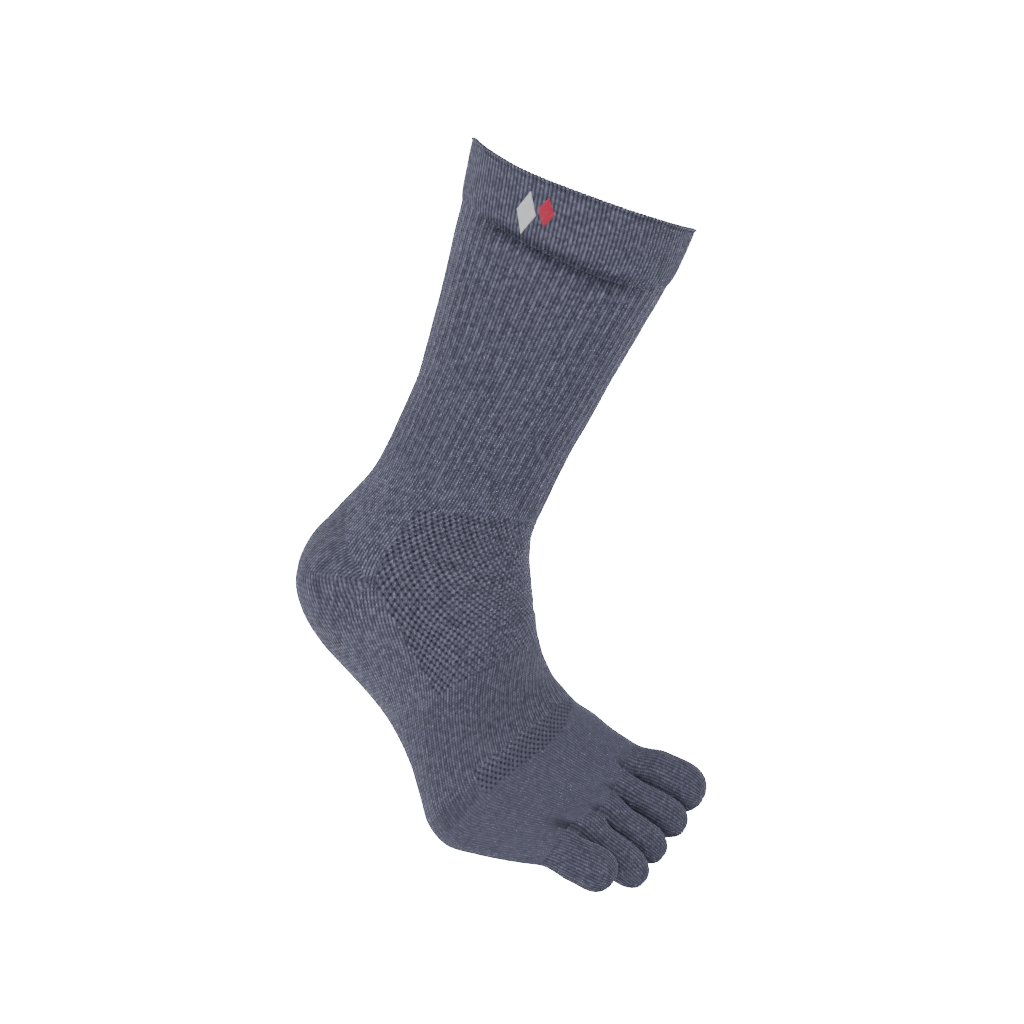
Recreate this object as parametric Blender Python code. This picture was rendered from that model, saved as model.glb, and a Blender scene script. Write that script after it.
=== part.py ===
"""A five-toe crew sock for a right foot, in the form that it has when it is worn.

The sock hangs from its leg opening: the origin is the middle of that opening, +Z is up,
+X is the way the toes point, and the outer side of the foot faces -Y.
All sizes are in metres and all angles in degrees.
"""

import math
from collections import namedtuple

import bmesh
import bpy
import numpy as np

# Sizes along the sock
LEG_LENGTH = 0.1380
FOOT_LENGTH = 0.2086
CUFF_HEIGHT = 0.0300

# Sizes across the sock, over the outside of the knit
CALF_DEPTH = 0.1180
CALF_WIDTH = 0.1040
HEEL_DEPTH = 0.1240
HEEL_WIDTH = 0.0710
INSTEP_HEIGHT = 0.0590
BALL_WIDTH = 0.1010

# Toe pockets
TOE_HEIGHT = 0.0230
TOE_REACH = 0.0420

# Thickness of the knit
LEG_WALL = 0.0016
CUFF_WALL = 0.0036
HEEL_WALL = 0.0022
FOOT_WALL = 0.0018
TOE_WALL = 0.0016

# Clearances between two pieces, and where a toe pocket is linked to the foot
GAP = 0.0003
TOE_GAP = 0.0004

# Fineness of the meshes
TOE_STEPS = 3
SIDE_STEPS = 10
LEG_ROWS = 9
HEEL_ROWS = 9
ANKLE_ROWS = 6
REAR_ROWS = 7
ARCH_ROWS = 4
FOREFOOT_ROWS = 5

# Cross-sections from the leg opening to the toe line. run is the way from the section before,
# as a share of the leg's or the foot's length, and heading is its direction. tilt is the slope
# of the section from back to front, and roll turns it about the way. depth and width are shares
# of the sizes that the zone follows, and square is the exponent of its rounded outline.
Section = namedtuple("Section", "name zone run heading tilt roll depth width square")
SECTIONS = (
    Section("rim", "cuff", 0.000, -108, -22.5, 0, 1.000, 1.000, 2.0),
    Section("cuff_end", "cuff", 1.000, -108, -21.0, 2, 0.945, 0.950, 2.0),
    Section("calf", "leg", 0.300, -112, -22.0, 4, 0.840, 0.865, 2.0),
    Section("shin", "leg", 0.234, -112, -22.0, 6, 0.765, 0.790, 2.0),
    Section("narrow", "leg", 0.187, -114, -22.0, 9, 0.722, 0.725, 2.1),
    Section("ankle", "leg", 0.280, -116, -21.0, 12, 0.730, 0.660, 2.1),
    Section("upper_heel", "heel", 0.094, -121, -15.0, 17, 0.802, 0.950, 2.2),
    Section("back_heel", "heel", 0.085, -117, -10.0, 21, 0.944, 0.975, 2.3),
    Section("gore", "heel", 0.064, -102, -4.0, 25, 1.000, 1.000, 2.4),
    Section("under_gore", "heel", 0.049, -79, 3.0, 28, 0.984, 1.000, 2.4),
    Section("lower_heel", "heel", 0.049, -65, 9.0, 32, 0.928, 1.000, 2.4),
    Section("heel_front", "heel", 0.048, -54, 14.0, 36, 0.863, 1.014, 2.4),
    Section("rear_arch", "heel", 0.058, -58, 19.0, 41, 0.760, 1.056, 2.4),
    Section("arch", "foot", 0.059, -60, 24.0, 47, 1.386, 0.782, 2.4),
    Section("front_arch", "foot", 0.053, -63, 29.0, 53, 1.190, 0.832, 2.4),
    Section("instep", "foot", 0.059, -66, 34.0, 58, 1.000, 0.886, 2.4),
    Section("low_instep", "foot", 0.049, -67, 39.0, 62, 0.966, 0.943, 2.4),
    Section("rear_ball", "foot", 0.044, -66, 43.0, 64, 0.983, 0.990, 2.4),
    Section("ball", "foot", 0.049, -47, 47.0, 65, 0.864, 1.010, 2.4),
    Section("front_ball", "foot", 0.061, -22, 51.0, 62, 0.661, 0.982, 2.4),
    Section("toe_roots", "foot", 0.072, -23, 55.0, 57, 0.520, 0.943, 2.3),
    Section("toe_line", "foot", 0.060, -20, 57.0, 54, 0.480, 0.908, 2.2),
)
NAMES = [section.name for section in SECTIONS]
CUFF_END = NAMES.index("cuff_end")
ANKLE = NAMES.index("ankle")
GORE = NAMES.index("gore")
ARCH = NAMES.index("arch")
REAR_BALL = NAMES.index("rear_ball")
TOE_LINE = NAMES.index("toe_line")

# How far the cuff's rim dips and its lower edge sags below their planes, as shares of the
# cuff's height, by the angle round the leg from the back.
CuffLine = namedtuple("CuffLine", "angle dip sag")
CUFF_LINES = (
    CuffLine(0, 0.00, 0.00),
    CuffLine(28, 0.12, 0.08),
    CuffLine(48, 0.22, 0.19),
    CuffLine(61, 0.26, 0.28),
    CuffLine(90, 0.22, 0.33),
    CuffLine(114, 0.15, 0.33),
    CuffLine(135, 0.10, 0.19),
    CuffLine(180, 0.00, -0.02),
)

# Hollows and swellings of the foot under the knit: where they lie along the sections and
# round them, how far they reach each way, and their share of the half size there.
Swell = namedtuple("Swell", "name at angle along around amount")
SWELLS = (
    Swell("outer_ankle_bone", 7.0, 104, 1.1, 24, 0.075),
    Swell("inner_ankle_bone", 6.6, 250, 1.1, 24, 0.075),
    Swell("outer_heel_hollow", 5.9, 46, 1.1, 20, -0.070),
    Swell("inner_heel_hollow", 5.9, 314, 1.1, 20, -0.070),
    Swell("arch_hollow", 13.6, 306, 2.2, 34, -0.130),
    Swell("inner_ball", 18.0, 296, 1.4, 26, 0.050),
)

# The heel cup: how far it reaches along the sections above and below the gore line at the
# back, and round the leg to each side. HEEL_CORNER is how far its outermost columns stand
# towards the corner of the opening in the foot.
HEEL_ABOVE = 2.3
HEEL_BELOW = 3.2
HEEL_AROUND = 86
HEEL_CORNER = 0.90

# The cuff's cross-section, from its top to its bottom and from its inner to its outer face.
Welt = namedtuple("Welt", "along out")
WELT = (
    Welt(0.000, 0.18), Welt(0.000, 0.72), Welt(0.045, 1.00), Welt(0.110, 0.88), Welt(0.400, 0.90),
    Welt(0.700, 0.95), Welt(0.900, 1.00), Welt(0.975, 0.90), Welt(1.000, 0.50), Welt(1.000, 0.00),
    Welt(0.500, 0.00), Welt(0.060, 0.00),
)

# Toe pockets from the outer to the inner side of the foot. width is a share of the toe line,
# height and reach are shares of the toe sizes, ahead is how far the knit runs on past the toe
# line at the pocket's inner edge, and splay, lift and droop turn it sideways and up and
# bend its end down.
Toe = namedtuple("Toe", "name width height reach ahead splay lift droop")
TOES = (
    Toe("toe_5", 0.225, 0.94, 0.74, -0.06, -3, 8, 12),
    Toe("toe_4", 0.188, 0.92, 0.91, 0.14, 2, 5, 14),
    Toe("toe_3", 0.175, 0.94, 0.96, 0.16, 4, 5, 14),
    Toe("toe_2", 0.182, 0.97, 0.98, 0.12, 6, 7, 12),
    Toe("toe_1", 0.230, 1.12, 1.04, 0.06, 11, 14, 8),
)
OUTER_AHEAD = -0.08

# A toe pocket's girth along its reach.
Girth = namedtuple("Girth", "along girth")
GIRTHS = (
    Girth(0.00, 1.00), Girth(0.10, 0.99), Girth(0.24, 0.97), Girth(0.40, 0.97), Girth(0.56, 1.00),
    Girth(0.70, 1.01), Girth(0.82, 0.93), Girth(0.915, 0.75), Girth(0.975, 0.46),
)

# How deep the knit is drawn in between two toes at the toe line, as a share of the height.
PINCH = 0.24

GREY_KNIT = (0.105, 0.112, 0.150, 1.0)
DARK_KNIT = (0.085, 0.091, 0.125, 1.0)


def sizes_of(section):
    """The half depth and half width of a section."""
    depth, width = {
        "cuff": (CALF_DEPTH, CALF_WIDTH),
        "leg": (CALF_DEPTH, CALF_WIDTH),
        "heel": (HEEL_DEPTH, HEEL_WIDTH),
        "foot": (INSTEP_HEIGHT, BALL_WIDTH),
    }[section.zone]
    return section.depth * depth / 2, section.width * width / 2


def section_values():
    """One row a section: centre x and z, tilt, roll, half depth, half width and squareness."""
    rows = []
    x = z = 0.0
    for section in SECTIONS:
        run = section.run * {"cuff": CUFF_HEIGHT, "leg": LEG_LENGTH}.get(section.zone, FOOT_LENGTH)
        x += run * math.cos(math.radians(section.heading))
        z += run * math.sin(math.radians(section.heading))
        tilt, roll = math.radians(section.tilt), math.radians(section.roll)
        rows.append((x, z, tilt, roll, *sizes_of(section), section.square))
    return np.array(rows)


VALUES = section_values()


def between_sections(at):
    """The section values at any place along the sock, on a smooth curve through the rows."""
    row = min(max(int(math.floor(at)), 0), TOE_LINE - 1)
    share = at - row
    before = VALUES[max(row - 1, 0)]
    start, end = VALUES[row], VALUES[row + 1]
    after = VALUES[min(row + 2, TOE_LINE)]
    leave, arrive = (end - before) / 2, (after - start) / 2
    square, cube = share**2, share**3
    return (
        (2 * cube - 3 * square + 1) * start
        + (cube - 2 * square + share) * leave
        + (3 * square - 2 * cube) * end
        + (cube - square) * arrive
    )


def axes_at(values):
    """The section's centre and its sideways, forward and onward directions."""
    x, z, tilt, roll = values[:4]
    centre = np.array((x, 0.0, z))
    slope = np.array((math.cos(tilt), 0.0, math.sin(tilt)))
    across = np.array((0.0, 1.0, 0.0))
    sideways = math.cos(roll) * across + math.sin(roll) * slope
    forward = math.cos(roll) * slope - math.sin(roll) * across
    onward = np.array((math.sin(tilt), 0.0, -math.cos(tilt)))
    return centre, sideways, forward, onward


def smooth(share):
    share = min(max(share, 0.0), 1.0)
    return share * share * (3 - 2 * share)


def crotch_shares():
    """Where the toe pockets meet, as shares of the half width, from the outer side."""
    total = sum(toe.width for toe in TOES)
    edges = np.cumsum([0.0] + [toe.width for toe in TOES]) / total
    return 2 * edges - 1


CROTCHES = crotch_shares()


def angle_of(share, upper):
    """The angle round the toe line of a place across it, on its upper or its lower side."""
    turned = math.degrees(math.asin(abs(share) ** (SECTIONS[TOE_LINE].square / 2)))
    if upper:
        return 180 - turned if share < 0 else 180 + turned
    return turned if share < 0 else 360 - turned


def outline(angle, square):
    """A rounded outline's place across and forward, as shares of its half sizes."""
    sine, cosine = math.sin(math.radians(angle)), math.cos(math.radians(angle))
    power = 2 / square
    return -math.copysign(abs(sine) ** power, sine), -math.copysign(abs(cosine) ** power, cosine)


def swelling(at, angle):
    """The factor by which hollows and swellings move the knit in or out."""
    factor = 1.0
    for swell in SWELLS:
        turned = (angle - swell.angle + 180) % 360 - 180
        far = ((at - swell.at) / swell.along) ** 2 + (turned / swell.around) ** 2
        factor += swell.amount * math.exp(-far)
    return factor


def pinching(at, share):
    """The factor by which the knit is drawn in between the toes."""
    inner = CROTCHES[1:-1]
    place = int(np.searchsorted(inner, share))
    if place in (0, len(inner)):
        edge = inner[0] if place == 0 else inner[-1]
        end = -1.0 if place == 0 else 1.0
        off = min(abs(share - edge) / abs(end - edge) * 2, 1.0)
    else:
        low, high = inner[place - 1], inner[place]
        off = min(share - low, high - share) / (high - low) * 2
    return 1 - PINCH * smooth((at - TOE_LINE + 2.2) / 2.2) * (1 - off) ** 2.5


def ahead_of_toe_line(share):
    """How far the knit runs on past the toe line at a place across it."""
    runs = [OUTER_AHEAD] + [toe.ahead for toe in TOES]
    return TOE_REACH * float(np.interp(share, CROTCHES, runs))


def knit(at, angle):
    """A point of the sock's outer face."""
    values = between_sections(at)
    half_depth, half_width, square = values[4:]
    centre, sideways, forward, onward = axes_at(values)
    across, front = outline(angle, square)
    factor = swelling(at, angle)
    draw = pinching(at, across) if at > TOE_LINE - 2.2 else 1.0
    along = smooth((at - TOE_LINE + 2) / 2) * ahead_of_toe_line(across) if at > TOE_LINE - 2 else 0.0
    return (
        centre
        + sideways * (across * half_width * factor)
        + forward * (front * half_depth * factor * draw)
        + onward * along
    )


def facing(at, angle):
    """The knit's outward direction at a point."""
    before, after = max(at - 0.08, 0.0), min(at + 0.08, TOE_LINE)
    down = knit(after, angle) - knit(before, angle)
    round_it = knit(at, angle + 3) - knit(at, angle - 3)
    out = np.cross(down, round_it)
    return out / np.linalg.norm(out)


def cuff_ends(angle):
    """Where the cuff begins and ends along the sections, eased between the rows of its table."""
    turned = np.abs((angle + np.array((-10, -5, 0, 5, 10)) + 180) % 360 - 180)
    rows = [row.angle for row in CUFF_LINES]
    dip = np.interp(turned, rows, [row.dip for row in CUFF_LINES]).mean()
    sag = np.interp(turned, rows, [row.sag for row in CUFF_LINES]).mean()
    below = part_length(CUFF_END, CUFF_END + 1)
    return float(dip), CUFF_END + float(sag) * CUFF_HEIGHT / below


def column_angles():
    """The angles of the columns of stitches that the meshes follow, in order round the foot."""
    angles = []
    for low, high in zip(CROTCHES[1:-2], CROTCHES[2:-1]):
        for step in range(TOE_STEPS):
            share = low + (high - low) * step / TOE_STEPS
            angles += [angle_of(share, True), angle_of(share, False)]
    last = CROTCHES[-2]
    angles += [angle_of(last, True), angle_of(last, False)]
    for edge in (CROTCHES[1], CROTCHES[-2]):
        upper, lower = angle_of(edge, True), angle_of(edge, False)
        angles += [lower + (upper - lower) * step / SIDE_STEPS for step in range(1, SIDE_STEPS)]
    return sorted(angles)


COLUMNS = column_angles()


def part_length(first, last):
    """The length of the sock's middle line between two sections."""
    centres = VALUES[first : last + 1, :2]
    return float(np.linalg.norm(np.diff(centres, axis=0), axis=1).sum())


def half_gap_along(at):
    """Half the clearance between two pieces, in sections."""
    row = min(int(at), TOE_LINE - 1)
    return GAP / 2 / part_length(row, row + 1)


class Shell:
    """The faces of a thick knitted piece, with its points kept by name."""

    def __init__(self):
        self.mesh = bmesh.new()
        self.points = {}

    def point(self, key, place):
        if key not in self.points:
            self.points[key] = self.mesh.verts.new(place)

    def face(self, *keys):
        self.mesh.faces.new([self.points[key] for key in keys])

    def finish(self, name, material):
        bmesh.ops.recalc_face_normals(self.mesh, faces=self.mesh.faces)
        bmesh.ops.triangulate(self.mesh, faces=self.mesh.faces)
        data = bpy.data.meshes.new(name)
        self.mesh.to_mesh(data)
        self.mesh.free()
        data.shade_smooth()
        data.set_sharp_from_angle(angle=math.radians(50))
        data.materials.append(material)
        piece = bpy.data.objects.new(name, data)
        bpy.context.scene.collection.objects.link(piece)
        return piece


def knit_material(name, colour, roughness):
    material = bpy.data.materials.new(name)
    material.use_nodes = True
    shader = material.node_tree.nodes["Principled BSDF"]
    shader.inputs["Base Color"].default_value = colour
    shader.inputs["Roughness"].default_value = roughness
    shader.inputs["Metallic"].default_value = 0.0
    return material


def to_toe_line(point, offset):
    """A point moved onward or back to the line where the toe pockets are linked to the foot."""
    values = between_sections(TOE_LINE)
    centre, sideways, _, onward = axes_at(values)
    share = (point - centre) @ sideways / values[5]
    return point + onward * (ahead_of_toe_line(share) + offset - (point - centre) @ onward)


def both_faces(shell, key, at, angle, wall):
    """The outer and inner points of the knit at a place."""
    outer = knit(at, angle)
    shell.point(("out", *key), outer)
    shell.point(("in", *key), outer - wall * facing(at, angle))


def wall_faces(shell, a, b, c, d):
    """The outer and inner face of one cell of the knit."""
    shell.face(("out", *a), ("out", *b), ("out", *c), ("out", *d))
    shell.face(("in", *d), ("in", *c), ("in", *b), ("in", *a))


def rim_face(shell, a, b):
    """The narrow face that joins the outer and inner face along an edge."""
    shell.face(("out", *a), ("out", *b), ("in", *b), ("in", *a))


def make_cuff(material):
    shell = Shell()
    proud = CUFF_WALL - LEG_WALL
    count = len(COLUMNS)
    for column, angle in enumerate(COLUMNS):
        first, last = cuff_ends(angle)
        last -= half_gap_along(CUFF_END)
        for row, welt in enumerate(WELT):
            at = first + (last - first) * welt.along
            offset = proud - CUFF_WALL * (1 - welt.out)
            shell.point((row, column), knit(at, angle) + offset * facing(at, angle))
    for column in range(count):
        after = (column + 1) % count
        for row in range(len(WELT)):
            below = (row + 1) % len(WELT)
            shell.face((row, column), (below, column), (below, after), (row, after))
    return shell.finish("cuff", material)


def heel_edges(angle):
    """Where the heel cup begins and ends along the sections, at an angle round the leg."""
    turned = abs((angle + 180) % 360 - 180)
    if turned >= HEEL_AROUND:
        return float(GORE), float(GORE)
    reach = math.cos(math.radians(90 * turned / HEEL_AROUND)) ** 0.8
    return GORE - HEEL_ABOVE * reach, GORE + HEEL_BELOW * reach


def heel_columns():
    """The heel cup's columns: where each lies round the leg, and where it begins and ends."""
    turned = sorted((angle + 180) % 360 - 180 for angle in COLUMNS)
    within = [angle for angle in turned if abs(angle) < HEEL_AROUND]
    corners = (
        max(angle for angle in turned if angle <= -HEEL_AROUND),
        min(angle for angle in turned if angle >= HEEL_AROUND),
    )
    columns = [(angle, *heel_edges(angle)) for angle in within]
    ends = []
    for corner, (angle, upper, lower) in zip(corners, (columns[0], columns[-1])):
        ends.append((
            angle + HEEL_CORNER * (corner - angle),
            upper + HEEL_CORNER * (GORE - upper),
            lower + HEEL_CORNER * (GORE - lower),
        ))
    return [ends[0]] + columns + [ends[1]]


def make_heel(material):
    shell = Shell()
    clear = half_gap_along(GORE)
    columns = heel_columns()
    for column, (angle, upper, lower) in enumerate(columns):
        for row, at in enumerate(np.linspace(upper + clear, lower - clear, HEEL_ROWS + 1)):
            both_faces(shell, (row, column), at, angle, HEEL_WALL)
    last = len(columns) - 1
    for column in range(last):
        for row in range(HEEL_ROWS):
            wall_faces(shell, (row, column), (row + 1, column), (row + 1, column + 1), (row, column + 1))
        rim_face(shell, (0, column), (0, column + 1))
        rim_face(shell, (HEEL_ROWS, column), (HEEL_ROWS, column + 1))
    for row in range(HEEL_ROWS):
        rim_face(shell, (row, 0), (row + 1, 0))
        rim_face(shell, (row, last), (row + 1, last))
    return shell.finish("heel", material)


def make_ring(name, ends, rows, wall, material):
    """A ring of knit. ends gives the places where it begins and ends at an angle round the sock."""
    shell = Shell()
    count = len(COLUMNS)
    for column, angle in enumerate(COLUMNS):
        first, last = ends(angle)
        first += half_gap_along(first)
        if last < TOE_LINE:
            last -= half_gap_along(math.ceil(last) - 1)
        for row, at in enumerate(np.linspace(first, last, rows + 1)):
            both_faces(shell, (row, column), at, angle, wall)
        if last == TOE_LINE:
            for face in ("out", "in"):
                edge = shell.points[face, rows, column]
                edge.co = to_toe_line(np.array(edge.co), -TOE_GAP / 2)
    for column in range(count):
        after = (column + 1) % count
        for row in range(rows):
            wall_faces(shell, (row, column), (row + 1, column), (row + 1, after), (row, after))
        rim_face(shell, (0, column), (0, after))
        rim_face(shell, (rows, column), (rows, after))
    return shell.finish(name, material)


def make_rings(leg_knit, foot_knit):
    """The leg and the rings of the foot, of which two leave the opening that the heel cup fills."""
    make_ring("leg", lambda angle: (cuff_ends(angle)[1], ANKLE), LEG_ROWS, LEG_WALL, leg_knit)
    make_ring("ankle", lambda angle: (ANKLE, heel_edges(angle)[0]), ANKLE_ROWS, FOOT_WALL, foot_knit)
    make_ring("rear_foot", lambda angle: (heel_edges(angle)[1], ARCH), REAR_ROWS, FOOT_WALL, foot_knit)
    make_ring("arch", lambda angle: (ARCH, REAR_BALL), ARCH_ROWS, FOOT_WALL, foot_knit)
    make_ring("forefoot", lambda angle: (REAR_BALL, TOE_LINE), FOREFOOT_ROWS, FOOT_WALL, foot_knit)


def root_of_toe(number):
    """The closed outline of the sock where a toe pocket begins, upper side first."""
    low, high = CROTCHES[number], CROTCHES[number + 1]
    outer_toe, inner_toe = number == 0, number == len(TOES) - 1
    at = TOE_LINE
    sideways = axes_at(between_sections(at))[1]

    def side(edge, towards):
        """The two points where neighbouring pockets meet, moved apart by half the clearance."""
        apart = towards * (GAP / 2 + TOE_WALL / 8) * sideways
        return knit(at, angle_of(edge, True)) + apart, knit(at, angle_of(edge, False)) + apart

    def row(upper):
        shares = [low + (high - low) * step / TOE_STEPS for step in range(1, TOE_STEPS)]
        return [knit(at, angle_of(share, upper)) for share in shares]

    def round_side(edge):
        upper, lower = angle_of(edge, True), angle_of(edge, False)
        steps = range(1, SIDE_STEPS)
        return [knit(at, upper + (lower - upper) * step / SIDE_STEPS) for step in steps]

    def wall(start, end):
        return [start + (end - start) * step / 3 for step in (1, 2)]

    if outer_toe:
        top, bottom = side(high, -1)
        return [top] + wall(top, bottom) + [bottom] + round_side(high)[::-1]
    if inner_toe:
        top, bottom = side(low, 1)
        return [top] + round_side(low) + [bottom] + wall(bottom, top)
    top_low, bottom_low = side(low, 1)
    top_high, bottom_high = side(high, -1)
    return (
        [top_low]
        + row(True)
        + [top_high]
        + wall(top_high, bottom_high)
        + [bottom_high]
        + row(False)[::-1]
        + [bottom_low]
        + wall(bottom_low, top_low)
    )


def toe_rings(number):
    """The rings of points along a toe pocket, and its tip."""
    toe = TOES[number]
    root = np.array(root_of_toe(number))
    _, sideways, forward, onward = axes_at(between_sections(TOE_LINE))
    middle = root.mean(axis=0)
    half_width = np.ptp(root @ sideways) / 2
    half_height = toe.height * TOE_HEIGHT / 2
    middle += sideways * ((root @ sideways).max() + (root @ sideways).min() - 2 * middle @ sideways) / 2
    splay, lift = math.radians(toe.splay), math.radians(toe.lift)
    towards = onward + math.tan(splay) * sideways + math.tan(lift) * forward
    towards /= np.linalg.norm(towards)
    beside = sideways - towards * (sideways @ towards)
    beside /= np.linalg.norm(beside)
    above = np.cross(towards, beside)
    above *= np.sign(above @ forward)
    reach = toe.reach * TOE_REACH
    offsets = root - middle
    turns = np.arctan2(offsets @ forward / np.ptp(root @ forward), offsets @ sideways / (2 * half_width))
    rings = []
    for girth in GIRTHS:
        bend = math.radians(toe.droop) * girth.along**2
        down = above * math.cos(bend) + towards * math.sin(bend)
        centre = middle + towards * (reach * girth.along) - above * (reach * girth.along * math.tan(bend) / 2)
        full = (
            centre
            + np.outer(np.cos(turns), beside) * half_width * girth.girth
            + np.outer(np.sin(turns), down) * half_height * girth.girth
        )
        share = smooth(girth.along / 0.40)
        rings.append((1 - share) * (root + towards * (reach * girth.along)) + share * full)
    bend = math.radians(toe.droop)
    tip = middle + towards * reach - above * (reach * math.tan(bend) / 2)
    return rings, tip


def ring_facing(rings, tip):
    """The outward direction at each point of a toe pocket."""
    stack = np.array(rings + [np.repeat([tip], len(rings[0]), axis=0)])
    middle = stack.mean(axis=1, keepdims=True)
    along = np.gradient(stack, axis=0)
    around = np.roll(stack, -1, axis=1) - np.roll(stack, 1, axis=1)
    out = np.cross(along, around)
    out /= np.linalg.norm(out, axis=2, keepdims=True) + 1e-12
    flip = np.sign((out * (stack - middle)).sum(axis=2, keepdims=True))
    return (out * np.where(flip == 0, 1, flip))[:-1]


def make_toe(number, material):
    shell = Shell()
    rings, tip = toe_rings(number)
    out = ring_facing(rings, tip)
    count, last = len(rings[0]), len(rings) - 1
    for row, ring in enumerate(rings):
        for column in range(count):
            outer, inner = ring[column], ring[column] - TOE_WALL * out[row][column]
            if row == 0:
                outer, inner = to_toe_line(outer, TOE_GAP / 2), to_toe_line(inner, TOE_GAP / 2)
            shell.point(("out", row, column), outer)
            shell.point(("in", row, column), inner)
    end = tip - rings[last].mean(axis=0)
    shell.point(("out", "tip"), tip)
    shell.point(("in", "tip"), tip - end / np.linalg.norm(end) * TOE_WALL)
    for column in range(count):
        after = (column + 1) % count
        for row in range(last):
            wall_faces(shell, (row, column), (row + 1, column), (row + 1, after), (row, after))
        shell.face(("out", last, column), ("out", "tip"), ("out", last, after))
        shell.face(("in", last, after), ("in", "tip"), ("in", last, column))
        rim_face(shell, (0, column), (0, after))
    return shell.finish(TOES[number].name, material)


def clear_scene():
    for item in list(bpy.data.objects):
        bpy.data.objects.remove(item, do_unlink=True)


def main():
    clear_scene()
    make_cuff(knit_material("cuff_knit", GREY_KNIT, 0.90))
    make_heel(knit_material("heel_knit", GREY_KNIT, 0.88))
    make_rings(knit_material("leg_knit", GREY_KNIT, 0.92), knit_material("foot_knit", GREY_KNIT, 0.90))
    toe_knit = knit_material("toe_knit", DARK_KNIT, 0.90)
    for number in range(len(TOES)):
        make_toe(number, toe_knit)


main()
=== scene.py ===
"""The looks of a toe sock in its worn form: every section of the knit as a fine mesh over its
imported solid, with the yarn's own finish, and a plain pale studio round it.

The tables and formulas of the sock's form are those of its solids. All sizes are in metres and all
angles in degrees, unless a comment says otherwise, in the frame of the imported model: the origin is
the middle of the leg opening, +Z is up, +X is the way the toes point, and the outer side of the
foot faces -Y.
"""

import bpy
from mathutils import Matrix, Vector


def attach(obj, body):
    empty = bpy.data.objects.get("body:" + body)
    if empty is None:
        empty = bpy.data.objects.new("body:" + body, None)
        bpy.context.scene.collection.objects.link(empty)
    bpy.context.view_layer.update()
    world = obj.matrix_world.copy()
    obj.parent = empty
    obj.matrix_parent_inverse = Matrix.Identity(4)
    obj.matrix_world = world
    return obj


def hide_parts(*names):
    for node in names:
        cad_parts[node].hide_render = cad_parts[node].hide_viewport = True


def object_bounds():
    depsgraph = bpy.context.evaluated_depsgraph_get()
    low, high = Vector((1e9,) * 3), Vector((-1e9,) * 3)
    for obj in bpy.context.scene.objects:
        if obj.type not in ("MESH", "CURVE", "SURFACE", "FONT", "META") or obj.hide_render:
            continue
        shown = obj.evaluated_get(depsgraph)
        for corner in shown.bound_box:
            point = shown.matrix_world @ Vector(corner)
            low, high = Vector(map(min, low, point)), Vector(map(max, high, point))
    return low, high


bl_info = {
    "name": "Toe Sock",
    "version": (1, 0, 0),
    "blender": (4, 5, 0),
    "location": "View3D > Sidebar > Toe Sock",
    "description": "Knits a toe sock over its packed solids and sets a plain studio round it",
    "category": "Add Mesh",
}

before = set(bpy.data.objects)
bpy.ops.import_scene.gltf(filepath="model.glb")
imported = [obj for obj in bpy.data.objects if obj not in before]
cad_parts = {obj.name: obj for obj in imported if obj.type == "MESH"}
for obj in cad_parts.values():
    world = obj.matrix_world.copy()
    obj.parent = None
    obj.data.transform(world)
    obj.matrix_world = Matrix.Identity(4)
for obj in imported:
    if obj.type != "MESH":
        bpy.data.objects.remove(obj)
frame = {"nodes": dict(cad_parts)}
SOLID_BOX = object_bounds()

import math
from collections import namedtuple

import bpy
import numpy as np
from bpy.props import FloatProperty, FloatVectorProperty, IntProperty, PointerProperty

# The sock's sizes, as its solids have them
LEG_LENGTH = 0.1380
FOOT_LENGTH = 0.2086
CUFF_HEIGHT = 0.0300
CALF_DEPTH = 0.1180
CALF_WIDTH = 0.1040
HEEL_DEPTH = 0.1240
HEEL_WIDTH = 0.0710
INSTEP_HEIGHT = 0.0590
BALL_WIDTH = 0.1010
TOE_HEIGHT = 0.0230
TOE_REACH = 0.0420
LEG_WALL = 0.0016
CUFF_WALL = 0.0036
HEEL_WALL = 0.0022
FOOT_WALL = 0.0018
TOE_WALL = 0.0016

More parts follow.
